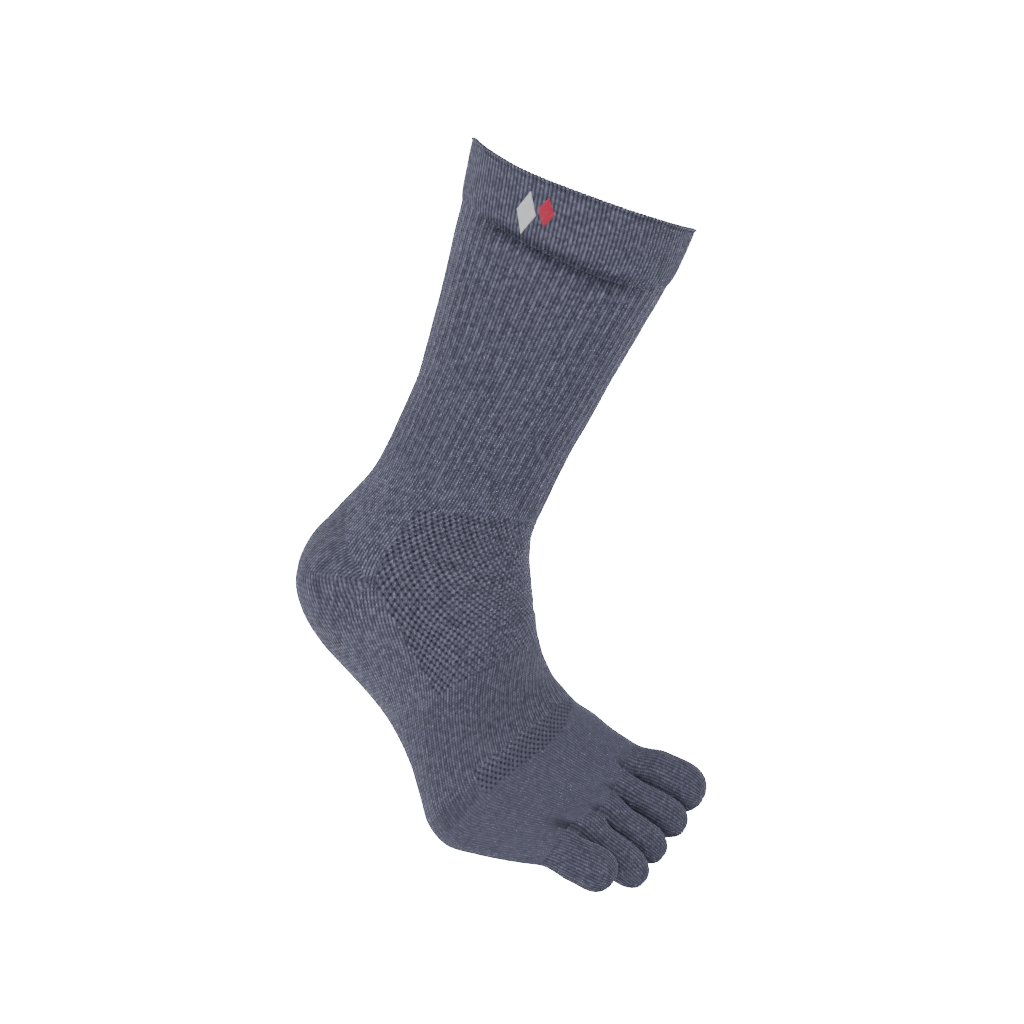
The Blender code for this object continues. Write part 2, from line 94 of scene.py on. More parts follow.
# Cross-sections from the leg opening to the toe line. run is the way from the section before, as a
# share of the leg's or the foot's length, and heading is its direction. tilt is the slope of the
# section from back to front, and roll turns it about the way. depth and width are shares of the
# sizes that the zone follows, and square is the exponent of its rounded outline.
Section = namedtuple("Section", "name zone run heading tilt roll depth width square")
SECTIONS = (
    Section("rim", "cuff", 0.000, -108, -22.5, 0, 1.000, 1.000, 2.0),
    Section("cuff_end", "cuff", 1.000, -108, -21.0, 2, 0.945, 0.950, 2.0),
    Section("calf", "leg", 0.300, -112, -22.0, 4, 0.840, 0.865, 2.0),
    Section("shin", "leg", 0.234, -112, -22.0, 6, 0.765, 0.790, 2.0),
    Section("narrow", "leg", 0.187, -114, -22.0, 9, 0.722, 0.725, 2.1),
    Section("ankle", "leg", 0.280, -116, -21.0, 12, 0.730, 0.660, 2.1),
    Section("upper_heel", "heel", 0.094, -121, -15.0, 17, 0.802, 0.950, 2.2),
    Section("back_heel", "heel", 0.085, -117, -10.0, 21, 0.944, 0.975, 2.3),
    Section("gore", "heel", 0.064, -102, -4.0, 25, 1.000, 1.000, 2.4),
    Section("under_gore", "heel", 0.049, -79, 3.0, 28, 0.984, 1.000, 2.4),
    Section("lower_heel", "heel", 0.049, -65, 9.0, 32, 0.928, 1.000, 2.4),
    Section("heel_front", "heel", 0.048, -54, 14.0, 36, 0.863, 1.014, 2.4),
    Section("rear_arch", "heel", 0.058, -58, 19.0, 41, 0.760, 1.056, 2.4),
    Section("arch", "foot", 0.059, -60, 24.0, 47, 1.386, 0.782, 2.4),
    Section("front_arch", "foot", 0.053, -63, 29.0, 53, 1.190, 0.832, 2.4),
    Section("instep", "foot", 0.059, -66, 34.0, 58, 1.000, 0.886, 2.4),
    Section("low_instep", "foot", 0.049, -67, 39.0, 62, 0.966, 0.943, 2.4),
    Section("rear_ball", "foot", 0.044, -66, 43.0, 64, 0.983, 0.990, 2.4),
    Section("ball", "foot", 0.049, -47, 47.0, 65, 0.864, 1.010, 2.4),
    Section("front_ball", "foot", 0.061, -22, 51.0, 62, 0.661, 0.982, 2.4),
    Section("toe_roots", "foot", 0.072, -23, 55.0, 57, 0.520, 0.943, 2.3),
    Section("toe_line", "foot", 0.060, -20, 57.0, 54, 0.480, 0.908, 2.2),
)
NAMES = [section.name for section in SECTIONS]
CUFF_END = NAMES.index("cuff_end")
ANKLE = NAMES.index("ankle")
GORE = NAMES.index("gore")
ARCH = NAMES.index("arch")
REAR_BALL = NAMES.index("rear_ball")
TOE_LINE = NAMES.index("toe_line")

# How far the cuff's rim dips and its lower edge sags, as shares of the cuff's height.
CuffLine = namedtuple("CuffLine", "angle dip sag")
CUFF_LINES = (
    CuffLine(0, -0.06, 0.00),
    CuffLine(28, 0.12, 0.08),
    CuffLine(48, 0.22, 0.19),
    CuffLine(61, 0.27, 0.29),
    CuffLine(90, 0.25, 0.37),
    CuffLine(114, 0.21, 0.42),
    CuffLine(135, 0.14, 0.37),
    CuffLine(180, -0.04, 0.12),
)

# Hollows and swellings of the foot under the knit.
Swell = namedtuple("Swell", "name at angle along around amount")
SWELLS = (
    Swell("outer_ankle_bone", 7.0, 104, 1.1, 24, 0.075),
    Swell("inner_ankle_bone", 6.6, 250, 1.1, 24, 0.075),
    Swell("outer_heel_hollow", 5.9, 46, 1.1, 20, -0.070),
    Swell("inner_heel_hollow", 5.9, 314, 1.1, 20, -0.070),
    Swell("arch_hollow", 13.6, 306, 2.2, 34, -0.130),
    Swell("inner_ball", 18.0, 296, 1.4, 26, 0.050),
)

# The heel cup's reach above and below the gore line, and round the leg.
HEEL_ABOVE = 2.3
HEEL_BELOW = 3.2
HEEL_AROUND = 86

# Toe pockets from the outer to the inner side of the foot.
Toe = namedtuple("Toe", "name width height reach ahead splay lift droop")
TOES = (
    Toe("toe_5", 0.225, 0.92, 0.82, -0.06, 5, 12, 14),
    Toe("toe_4", 0.188, 0.96, 1.02, 0.14, 0, 0, 18),
    Toe("toe_3", 0.175, 0.95, 0.94, 0.16, 1, 2, 14),
    Toe("toe_2", 0.182, 0.98, 0.99, 0.12, 5, 6, 12),
    Toe("toe_1", 0.230, 1.18, 1.04, 0.06, 5, 10, 9),
)
OUTER_AHEAD = -0.08

# How deep the knit is drawn in between two toes at the toe line, and over how many sections. Under
# the foot the clefts are shallower, by a share.
PINCH = 0.07
PINCH_RUN = 1.3
CLEFT_UNDER = 0.4

# The cuff's cross-section, from its inner face over the rolled rim to the tuck at its lower edge.
Welt = namedtuple("Welt", "along out")
WELT = (
    Welt(0.035, 0.10), Welt(0.006, 0.32), Welt(0.000, 0.60), Welt(0.010, 0.84), Welt(0.034, 0.96),
    Welt(0.062, 0.92), Welt(0.086, 0.82), Welt(0.120, 0.80), Welt(0.200, 0.82), Welt(0.330, 0.83),
    Welt(0.480, 0.84), Welt(0.620, 0.84), Welt(0.740, 0.82), Welt(0.830, 0.77), Welt(0.900, 0.69),
    Welt(0.950, 0.59), Welt(0.985, 0.47), Welt(1.000, 0.32), Welt(0.998, 0.16), Welt(0.985, 0.02),
    Welt(0.850, 0.00), Welt(0.650, 0.00), Welt(0.450, 0.00), Welt(0.250, 0.00), Welt(0.110, 0.00),
)

# Where along the sections the cuff's wales are counted. The ribs scallop the rim over a share of
# the cuff's height, and a painted shade darkens the groove under the rolled rim between two shares
# of it.
CUFF_MIDDLE = 0.8
RIM_SCALLOP = 0.014
RIM_SHARE = 0.07
GROOVE_SHADE = (0.065, 0.115)

# Where along the sections the leg's wales are counted at its top, how far the leg is tucked under
# the cuff's edge, how its rows crowd together there, and over how many sections its ribs fade at
# the ankle.
LEG_TOP = 1.2
LEG_TUCKED = 0.04
LEG_CROWDING = 1.15
LEG_FADE = 0.25

# The edges of the openwork panels and of the arch band, along the sections, by the angle round the
# foot: where the ankle panel begins and ends, and where the arch band and the front panel end.
PanelEdge = namedtuple("PanelEdge", "angle top arch band front")
PANEL_EDGES = (
    PanelEdge(0, 6.0, 13.3, 17.7, 17.7),
    PanelEdge(78, 5.8, 13.2, 17.7, 17.7),
    PanelEdge(111, 5.35, 13.1, 17.7, 17.7),
    PanelEdge(144, 5.05, 12.95, 17.6, 17.7),
    PanelEdge(149, 5.05, 12.95, 16.5, 17.7),
    PanelEdge(175, 4.97, 12.7, 16.6, 17.95),
    PanelEdge(190, 4.97, 12.6, 16.75, 18.3),
    PanelEdge(205, 4.99, 12.45, 16.95, 18.35),
    PanelEdge(235, 5.2, 12.4, 17.2, 17.7),
    PanelEdge(240, 5.25, 12.4, 17.6, 17.7),
    PanelEdge(282, 5.8, 12.6, 17.7, 17.7),
    PanelEdge(360, 6.0, 13.3, 17.7, 17.7),
)

# How far round the foot the ankle panel reaches, by the place along the sections.
PanelSide = namedtuple("PanelSide", "at outer inner")
PANEL_SIDES = (
    PanelSide(5.0, 86, 272),
    PanelSide(7.9, 87, 272),
    PanelSide(9.6, 92, 267),
    PanelSide(11.5, 97, 262),
    PanelSide(13.1, 111, 250),
)
FRONT_PANEL = (149, 238)

# How open the front panel is, and how the ankle panel closes up a little towards the front.
FRONT_OPENWORK = 0.85
ANKLE_FADE = 0.35
ANKLE_FADE_START = 95
ANKLE_FADE_RUN = 75

# The satin-stitched lozenges on the cuff, by their middle, half height, half width and slant, with
# the rows and columns of points over each. They lie on the welt's face, a share of its wall from
# its inside.
Lozenge = namedtuple("Lozenge", "at angle tall wide slant")
LOZENGE_ROWS = 97
LOZENGE_COLUMNS = 17
WELT_FACE = 0.83
LOZENGES = (
    Lozenge(0.84, 67.5, 0.30, 5.5, 1.2),
    Lozenge(0.74, 77.5, 0.21, 4.5, 1.2),
)

# How far a lozenge's stitches stand clear of the knit, and how far its underside lies in it.
PAD_CLEAR = 0.0001
PAD_SUNK = 0.0004

# The threads of the two lozenges: their colour where they are lit, and a painted shade for the gaps
# between strands.
Thread = namedtuple("Thread", "name lit gap")
THREADS = (
    Thread("pale_thread", (0.95, 0.95, 0.97, 1.0), (0.50, 0.51, 0.55, 1.0)),
    Thread("red_thread", (0.78, 0.015, 0.085, 1.0), (0.32, 0.005, 0.03, 1.0)),
)
THREAD_RELIEF = 0.0002

# The crease under the cuff: its share of the full depth by the angle round the leg, how deep it is
# drawn in on the cuff and on the leg, and its half width on the leg in sections.
Crease = namedtuple("Crease", "angle depth")
CREASES = (
    Crease(0, 0.15), Crease(38, 0.30), Crease(56, 0.85), Crease(80, 1.00), Crease(120, 0.95),
    Crease(146, 0.35), Crease(180, 0.15), Crease(214, 0.35), Crease(240, 0.90), Crease(300, 0.90),
    Crease(325, 0.30), Crease(360, 0.15),
)
CUFF_CREASE = 0.0007
LEG_CREASE = 0.0008
CREASE_WIDTH = 0.11

# The clefts between the toe pockets, from the outer side: how far each runs back on the foot, how
# deep it is drawn in at the toe line, and how wide it is.
Cleft = namedtuple("Cleft", "back depth width")
CLEFTS = (
    Cleft(0.0150, 0.0030, 0.0026),
    Cleft(0.0080, 0.0024, 0.0024),
    Cleft(0.0080, 0.0024, 0.0024),
    Cleft(0.0080, 0.0026, 0.0026),
)

# The slight waves of a worn knit, a few centimetres long: each one's length along X, Y and Z, with
# its sign, its share of a turn at the origin, and its weight.
Wave = namedtuple("Wave", "x y z start weight")
WAVES = (
    Wave(0.043, math.inf, 0.061, 0.2, 1.0),
    Wave(math.inf, 0.037, -0.047, 0.7, 1.0),
    Wave(0.023, -0.029, 0.026, 0.0, 0.6),
)

# The heel cup's wales and courses: how many a metre round the heel adds, and how many a metre away
# from the gore line adds above and below it. HEEL_GIRTH is the way round the heel at that line.
HeelKnit = namedtuple("HeelKnit", "aside above below")
HEEL_WALES = HeelKnit(440.0, -530.0, -235.0)
HEEL_COURSES = HeelKnit(400.0, 440.0, 520.0)
HEEL_GIRTH = 0.306

# The gore line, a shallow valley, lies above its section at the back of the heel and drops towards
# the sides, in sections. The heel cup stops HEEL_GAP degrees short of the ankle's knit.
GORE_ABOVE = 0.27
GORE_DROP = 0.21
GORE_WIDTH = 0.0007
GORE_DEPTH = 0.0002
HEEL_GAP = 0.05

# How deep a cleft is where its shadow is full.
CLEFT_DARK = 0.003

# A toe pocket: the share of its reach that keeps its girth, how much that swells, and the
# exponents that round its end; the share over which it grows out of the foot, and how far back the
# knit sets its first direction, in sections; and how much wider and higher it is than its root and
# its solid.
TOE_BODY = 0.66
TOE_SWELL = 0.04
TOE_END = 2.3
TOE_ROUND = 0.44
TOE_JOIN = 0.40
ROOT_BACK = 0.12
POCKET_WIDER = 1.05
POCKET_HIGHER = 1.04

# The width of a toe's wale, and its closing seam: how far round the toe it lies, in radians, how
# narrow it is, and the spacing and height of its beads.
TOE_WALE = 0.0017
SEAM_TURN = 0.15
SEAM_NARROWNESS = 2.6
BEAD_PITCH = 0.0016
BEAD_HEIGHT = 0.00060

# How crisp the stitches of each section are, and by how much the tone of its yarn is scaled.
Finish = namedtuple("Finish", "crispness brightness")
FINISHES = {
    "cuff": Finish(0.55, 0.94),
    "leg": Finish(0.60, 1.0),
    "heel": Finish(0.56, 0.88),
    "ankle": Finish(0.70, 1.0),
    "rear_foot": Finish(0.62, 0.97),
    "arch": Finish(0.50, 1.0),
    "forefoot": Finish(0.22, 0.86),
    "toe": Finish(0.42, 0.79),
}

# The yarn's tones. A stitch's legs climb by a share of a course over half a wale, and stray fibres
# shift them. The tone rises on wales and courses, a painted highlight on the loops with painted
# shade between them, and differs at random from stitch to stitch, fibre to fibre and patch to patch.
# A painted shade darkens the knit's hollows, creases and clefts, and its openwork holes. Openwork is
# softer. MIDDLE_TONE is the yarn's own.
STITCH_SLOPE = 0.80
STRAY_SHIFT = 0.35
RIDGE_TONE = 1.5
RISE_TONE = 0.9
EACH_TONE = 1.0
FIBRE_TONE = 1.2
PATCH_TONE = 0.16
PAINTED_HOLLOW_SHADE = 0.75
PAINTED_HOLE_SHADE = 0.70
OPEN_SOFTNESS = 0.4
MIDDLE_TONE = 0.42
FUZZ_TINT = (0.84, 0.82, 1.0, 1.0)

# The noises of the finishes.
Grain = namedtuple("Grain", "scale detail roughness")
STRAY_GRAIN = Grain(700.0, 2.0, 0.55)
PATCH_GRAIN = Grain(70.0, 3.0, 0.55)
FIBRE_GRAIN = Grain(1400.0, 3.0, 0.7)
THREAD_GRAIN = Grain(3000.0, 2.0, 0.7)
CLOUD_GRAIN = Grain(1.5, 3.0, 0.55)

# Points along each section. Round it the cuff has CUFF_COLUMNS a wale and the others have COLUMNS.
# TIP_ROWS of a toe's rows lie in its rounded end. The inner faces have fewer rows, and a painted
# shade darkens them. Edges sharper than SHARP_ANGLE are crisp.
ROWS = {
    "cuff": 78, "leg": 72, "heel": 131, "ankle": 84, "rear_foot": 88, "arch": 84, "forefoot": 94,
}
CUFF_COLUMNS = 6
COLUMNS = 4
HEEL_COLUMNS = 200
TIP_ROWS = 33
INNER_EVERY = 7
HEEL_INNER_EVERY = 10
TOE_INNER_ROWS = 30
INNER_PAINTED_SHADE = 0.55
SHARP_ANGLE = 60

# The floor sweeps up into a wall behind the sock, round the light that shines on it.
SWEEP_START = 2.0
SWEEP_RADIUS = 3.0
SWEEP_AIM = 20.0
SWEEP_BEND = 41.0
FLOOR_NEAR = -16.0
FLOOR_SIDE = 8.0

# The lamps round the sock: where each stands from the picture's middle, its width and which power
# it has.
PICTURE_MIDDLE = (-0.03625, 0.0, -0.16425)
Lamp = namedtuple("Lamp", "name place width power")
LAMPS = (
    Lamp("key_light", (-1.3, -1.7, 1.3), 1.8, "key"),
    Lamp("fill_light", (1.6, -1.5, 0.1), 1.6, "fill"),
    Lamp("left_edge_light", (-1.5, 1.6, 0.3), 1.0, "edges"),
    Lamp("right_edge_light", (1.5, 1.6, 0.3), 1.0, "edges"),
)


def smooth(share):
    """Eases from nought to one."""
    share = np.clip(share, 0.0, 1.0)
    return share * share * (3 - 2 * share)


def wave(cycles):
    """A wave between nought and one."""
    return 0.5 + 0.5 * np.cos(2 * math.pi * cycles)


def within(value, low, high, ease):
    """One between two edges and nought outside them, eased over a short way."""
    return smooth((value - low) / ease + 0.5) * smooth((high - value) / ease + 0.5)


def unit(vectors):
    """The vectors at length one."""
    return vectors / np.maximum(np.linalg.norm(vectors, axis=-1, keepdims=True), 1e-12)


def look_up(table, key, place, name):
    """A table's column at places along its key column, in straight lines between the rows."""
    keys, values = ([getattr(row, field) for row in table] for field in (key, name))
    return np.interp(place, keys, values)


def grid(*values):
    """Numbers and lists as arrays of one shape."""
    return np.broadcast_arrays(*(np.asarray(value, float) for value in values))


def curve(share, start, leave, end, arrive):
    """A smooth curve that leaves its start and arrives at its end in given directions."""
    square, cube = share**2, share**3
    return (
        (2 * cube - 3 * square + 1) * start
        + (cube - 2 * square + share) * leave
        + (3 * square - 2 * cube) * end
        + (cube - square) * arrive
    )


def path_length(points):
    """The way along a row of points, from nought at the first."""
    return np.concatenate(([0.0], np.cumsum(np.linalg.norm(np.diff(points, axis=0), axis=1))))


def section_values():
    """One row a section: centre x and z, tilt, roll, half depth, half width and squareness."""
    across = {
        "cuff": (CALF_DEPTH, CALF_WIDTH),
        "leg": (CALF_DEPTH, CALF_WIDTH),
        "heel": (HEEL_DEPTH, HEEL_WIDTH),
        "foot": (INSTEP_HEIGHT, BALL_WIDTH),
    }
    rows = []
    x = z = 0.0
    for section in SECTIONS:
        run = section.run * {"cuff": CUFF_HEIGHT, "leg": LEG_LENGTH}.get(section.zone, FOOT_LENGTH)
        x += run * math.cos(math.radians(section.heading))
        z += run * math.sin(math.radians(section.heading))
        depth, width = across[section.zone]
        rows.append((
            x, z, math.radians(section.tilt), math.radians(section.roll),
            section.depth * depth / 2, section.width * width / 2, section.square,
        ))
    return np.array(rows)


VALUES = section_values()


def between_sections(at):
    """The section values at places along the sock, on a smooth curve through the rows."""
    row = np.clip(np.floor(at).astype(int), 0, TOE_LINE - 1)
    share = (at - row)[..., None]
    start, end = VALUES[row], VALUES[row + 1]
    leave = (end - VALUES[np.maximum(row - 1, 0)]) / 2
    arrive = (VALUES[np.minimum(row + 2, TOE_LINE)] - start) / 2
    return curve(share, start, leave, end, arrive)


def axes_at(values):
    """Each section's centre and its sideways, forward and onward directions."""
    x, z, tilt, roll = (values[..., column] for column in range(4))
    none = np.zeros_like(x)
    centre = np.stack((x, none, z), -1)
    slope = np.stack((np.cos(tilt), none, np.sin(tilt)), -1)
    across = np.array((0.0, 1.0, 0.0))
    turn, lean = np.cos(roll)[..., None], np.sin(roll)[..., None]
    onward = np.stack((np.sin(tilt), none, -np.cos(tilt)), -1)
    return centre, turn * across + lean * slope, turn * slope - lean * across, onward


_, TOE_SIDEWAYS, TOE_FORWARD, TOE_ONWARD = axes_at(VALUES[TOE_LINE])


def crotch_shares():
    """Where the toe pockets meet, as shares of the half width, from the outer side."""
    edges = np.cumsum([0.0] + [toe.width for toe in TOES])
    return 2 * edges / edges[-1] - 1


CROTCHES = crotch_shares()


def angle_of(share, upper):
    """The angle round the toe line of a place across it, on its upper or its lower side."""
    turned = math.degrees(math.asin(abs(share) ** (SECTIONS[TOE_LINE].square / 2)))
    if upper:
        return 180 - turned if share < 0 else 180 + turned
    return turned if share < 0 else 360 - turned


def outline(angle, square):
    """A rounded outline's place across and forward, as shares of its half sizes."""
    sine, cosine = np.sin(np.radians(angle)), np.cos(np.radians(angle))
    power = 2 / square
    return -np.sign(sine) * np.abs(sine) ** power, -np.sign(cosine) * np.abs(cosine) ** power


def swelling(at, angle):
    """The factor by which hollows and swellings move the knit in or out."""
    factor = 1.0
    for swell in SWELLS:
        turned = (angle - swell.angle + 180) % 360 - 180
        far = ((at - swell.at) / swell.along) ** 2 + (turned / swell.around) ** 2
        factor = factor + swell.amount * np.exp(-far)
    return factor


def pinching(at, share):
    """The factor by which the knit is drawn in between the toes."""
    inner = CROTCHES[1:-1]
    off = np.minimum(np.abs(share - inner[0]) / abs(-1 - inner[0]) * 2, 1.0)
    for low, high in zip(inner[:-1], inner[1:]):
        between = np.minimum(share - low, high - share) / (high - low) * 2
        off = np.where((share > low) & (share <= high), between, off)
    last = np.minimum(np.abs(share - inner[-1]) / abs(1 - inner[-1]) * 2, 1.0)
    off = np.where(share > inner[-1], last, off)
    return 1 - PINCH * smooth((at - TOE_LINE + PINCH_RUN) / PINCH_RUN) * (1 - off) ** 3


def ahead_of_toe_line(share):
    """How far the knit runs on past the toe line at a place across it."""
    return TOE_REACH * np.interp(share, CROTCHES, [OUTER_AHEAD] + [toe.ahead for toe in TOES])


def form(at, angle):
    """Points of the sock's outer face, as its solids have it."""
    at, angle = grid(at, angle)
    values = between_sections(at)
    centre, sideways, forward, onward = axes_at(values)
    across, front = outline(angle, values[..., 6])
    factor = swelling(at, angle)
    near = at > TOE_LINE - PINCH_RUN
    draw = np.where(near, pinching(at, across), 1.0)
    along = smooth((at - TOE_LINE + 2) / 2) * ahead_of_toe_line(across)
    return (
        centre
        + sideways * (across * values[..., 5] * factor)[..., None]
        + forward * (front * values[..., 4] * factor * draw)[..., None]
        + onward * along[..., None]
    )


def facing(at, angle):
    """The outward direction of the sock's form."""
    at, angle = grid(at, angle)
    down = form(np.minimum(at + 0.08, TOE_LINE), angle) - form(np.maximum(at - 0.08, 0.0), angle)
    return unit(np.cross(down, form(at, angle + 2) - form(at, angle - 2)))


def cleft_depth(at, angle):
    """How far the clefts between the toe pockets are drawn in."""
    at, angle = grid(at, angle)
    last = SECTIONS[TOE_LINE]
    across = outline(angle, between_sections(at)[..., 6])[0] * last.width * BALL_WIDTH / 2
    back = (TOE_LINE - at) * last.run * FOOT_LENGTH
    depth = 0.0
    for share, cleft in zip(CROTCHES[1:-1], CLEFTS):
        aside = across - share * last.width * BALL_WIDTH / 2
        reach = smooth(1 - back / cleft.back)
        depth = depth + cleft.depth * np.exp(-((aside / cleft.width) ** 2)) * reach
    return np.where(np.cos(np.radians(angle)) < 0, depth, CLEFT_UNDER * depth)


def skin(at, angle):
    """Points of the sock's outer face with the clefts drawn in."""
    return form(at, angle) - facing(at, angle) * cleft_depth(at, angle)[..., None]


def cuff_ends(angle):
    """Where the cuff begins and ends along the sections, eased between the rows of its table."""
    near = np.asarray(angle)[..., None] + np.array((-10, -5, 0, 5, 10))
    turned = np.abs((near + 180) % 360 - 180)
    dip = look_up(CUFF_LINES, "angle", turned, "dip").mean(axis=-1)
    sag = look_up(CUFF_LINES, "angle", turned, "sag").mean(axis=-1)
    below = np.linalg.norm(VALUES[CUFF_END + 1, :2] - VALUES[CUFF_END, :2])
    return dip, CUFF_END + sag * CUFF_HEIGHT / below


def heel_edges(angle):
    """Where the heel cup begins and ends along the sections, at angles round the leg."""
    turned = np.abs((np.asarray(angle, float) + 180) % 360 - 180)
    reach = np.maximum(np.cos(np.radians(90 * np.minimum(turned / HEEL_AROUND, 1))), 0) ** 0.8
    return GORE - HEEL_ABOVE * reach, GORE + HEEL_BELOW * reach


class Wales:
    """Where each wale, a column of stitches, lies round every section, evenly spaced round it."""

    def __init__(self):
        self.places = np.linspace(0, TOE_LINE, 421)
        self.turns = np.linspace(0, 1, 1441)
        angles = np.linspace(0, 360, 1441)
        middle = len(angles) // 2
        rows = []
        for at in self.places:
            length = path_length(form(at, angles))
            outer = length[: middle + 1] / length[middle] / 2
            inner = 0.5 + (length[middle:] - length[middle]) / (length[-1] - length[middle]) / 2
            rows.append(np.concatenate((outer, inner[1:])))
        self.table = np.array([np.interp(self.turns, row, angles) for row in rows])
        side = [form(self.places, angle) for angle in (110.0, 250.0)]
        steps = sum(np.linalg.norm(np.diff(line, axis=0), axis=1) for line in side) / 2
        self.lengths = np.concatenate(([0.0], np.cumsum(steps)))

    def angle(self, at, turn):
        """The angle round the sock of a wale, counted as a share of all of them."""
        at, turn = grid(at, turn)
        row = np.clip(at / TOE_LINE * (len(self.places) - 1), 0, len(self.places) - 1.001)
        column = (turn % 1.0) * (len(self.turns) - 1)
        i, j = row.astype(int), np.minimum(column.astype(int), len(self.turns) - 2)
        a, b = row - i, column - j
        above = self.table[i, j] * (1 - b) + self.table[i, j + 1] * b
        below = self.table[i + 1, j] * (1 - b) + self.table[i + 1, j + 1] * b
        return above * (1 - a) + below * a + 360 * np.floor(turn)

    def length(self, at):
        """The length of knit between the leg opening and a place along the sections."""
        return np.interp(at, self.places, self.lengths)


WALES = Wales()


def edge_at(angle, name):
    """Where an edge of the openwork panels lies along the sections."""
    return look_up(PANEL_EDGES, "angle", angle % 360, name)


def openwork(at, angle):
    """How open the knit is: up to one inside the two openwork panels and nought outside them."""
    angle = angle % 360
    outer = look_up(PANEL_SIDES, "at", at, "outer")
    inner = look_up(PANEL_SIDES, "at", at, "inner")
    ankle = within(at, edge_at(angle, "top"), edge_at(angle, "arch"), 0.12)
    ankle = ankle * within(angle, outer, inner, 3)
    ankle = ankle * (1 - ANKLE_FADE * smooth((angle - ANKLE_FADE_START) / ANKLE_FADE_RUN))
    front = within(at, edge_at(angle, "band"), edge_at(angle, "front"), 0.12)
    return np.maximum(ankle, FRONT_OPENWORK * front * within(angle, *FRONT_PANEL, 3))


def arch_band(at, angle):
    """One inside the tight band round the arch and nought outside it."""
    return within(at, edge_at(angle, "arch"), edge_at(angle, "band"), 0.2)


def crease_depth(angle):
    """How deep the crease under the cuff is at an angle round the leg, between nought and one."""
    return smooth(look_up(CREASES, "angle", angle % 360, "depth"))


def unevenness(points):
    """The slight unevenness of a worn knit, between about minus one and one."""
    x, y, z = (points[..., column] for column in range(3))
    height = 0.0
    for one in WAVES:
        turn = x / one.x + y / one.y + z / one.z + one.start
        height = height + one.weight * np.sin(2 * math.pi * turn)
    return height / sum(one.weight for one in WAVES)


class Net:
    """The points and quads of a piece, with stitch numbers at its corners, and a painted shade and
    the openwork at its points.
    """

    def __init__(self):
        self.points, self.depths, self.opens = [], [], []
        self.quads, self.stitches = [], []
        self.count = 0

    def rows(self, points, depth=1.0, openness=0.0):
        """Adds rows of points and gives their numbers."""
        shape = points.shape[:2]
        numbers = self.count + np.arange(math.prod(shape)).reshape(shape)
        self.points.append(points.reshape(-1, 3))
        self.depths.append(np.broadcast_to(depth, shape).ravel())
        self.opens.append(np.broadcast_to(openness, shape).ravel())
        self.count += numbers.size
        return numbers

    def cells(self, numbers, wale, course, closed=None, flip=False):
        """Joins rows of points with quads. closed is the number of wales round a closed tube.

        Where a second row is one point all along, its quads become triangles.
        """
        stitch = np.empty(numbers.shape + (2,))
        stitch[..., 0], stitch[..., 1] = wale, course
        if closed is not None:
            numbers = np.concatenate((numbers, numbers[:, :1]), axis=1)
            stitch = np.concatenate((stitch, stitch[:, :1] + np.array((closed, 0.0))), axis=1)
        here, there = slice(0, -1), slice(1, None)
        corners = [(here, here), (there, here), (there, there), (here, there)]
        if flip:
            corners.reverse()
        self.quads.append(np.stack([numbers[corner] for corner in corners], -1).reshape(-1, 4))
        self.stitches.append(np.stack([stitch[corner] for corner in corners], -2).reshape(-1, 4, 2))

    def rims(self, outer, inner, wale, course, closed=None):
        """Joins the outer and the inner face along their first and last rows."""
        for row, rim in ((0, (inner[0], outer[0])), (-1, (outer[-1], inner[-1]))):
            self.cells(np.stack(rim), wale[[row, row]], course[[row, row]], closed)

    def finish(self, name, materials):
        """The piece itself, with its stitch numbers as a UV map, its painted shade as the depth
        attribute, and its openwork.
        """
        quads = np.concatenate(self.quads)
        kept = np.ones(quads.shape, bool)
        kept[:, 2] = quads[:, 1] != quads[:, 2]
        faces = quads.tolist()
        for number in np.nonzero(~kept[:, 2])[0]:
            del faces[number][2]
        mesh = bpy.data.meshes.new(name)
        mesh.from_pydata(np.concatenate(self.points).tolist(), [], faces)
        stitches = np.concatenate(self.stitches)[kept]
        mesh.uv_layers.new(name="stitches").data.foreach_set("uv", stitches.ravel())
        # The depth attribute holds a painted shade: where it is lower, the yarn's colour is darker.
        for attribute, values in (("depth", self.depths), ("openwork", self.opens)):
            layer = mesh.attributes.new(attribute, "FLOAT", "POINT")
            layer.data.foreach_set("value", np.concatenate(values))
        mesh.shade_smooth()
        mesh.set_sharp_from_angle(angle=math.radians(SHARP_ANGLE))
        for material in materials:
            mesh.materials.append(material)
        piece = bpy.data.objects.new(name, mesh)
        bpy.context.scene.collection.objects.link(piece)
        return piece


class Maths:
    """A socket that Python's own operators work on."""

    def __init__(self, shading, socket):
        self.shading, self.socket = shading, socket

    def of(self, operation, *values):
        """A math node over sockets and numbers."""
        inputs = dict(enumerate(values))
        return self.shading.node("ShaderNodeMath", {"operation": operation}, inputs)

    def __add__(self, other):
        return self.of("ADD", self, other)

    __radd__ = __add__

    def __sub__(self, other):
        return self.of("SUBTRACT", self, other)

    def __rsub__(self, other):
        return self.of("SUBTRACT", other, self)

    def __mul__(self, other):
        return self.of("MULTIPLY", self, other)

    __rmul__ = __mul__

    def fraction(self):
        return self.of("FRACT", self)

    def whole(self):
        return self.of("FLOOR", self)

    def size(self):
        return self.of("ABSOLUTE", self)

    def cosine(self):
        return self.of("COSINE", self)

    def wave(self):
        """A wave between nought and one, highest at the whole numbers."""
        return 0.5 + 0.5 * (self * (2 * math.pi)).cosine()

    def clipped(self):
        return self.of("MINIMUM", self.of("MAXIMUM", self, 0.0), 1.0)


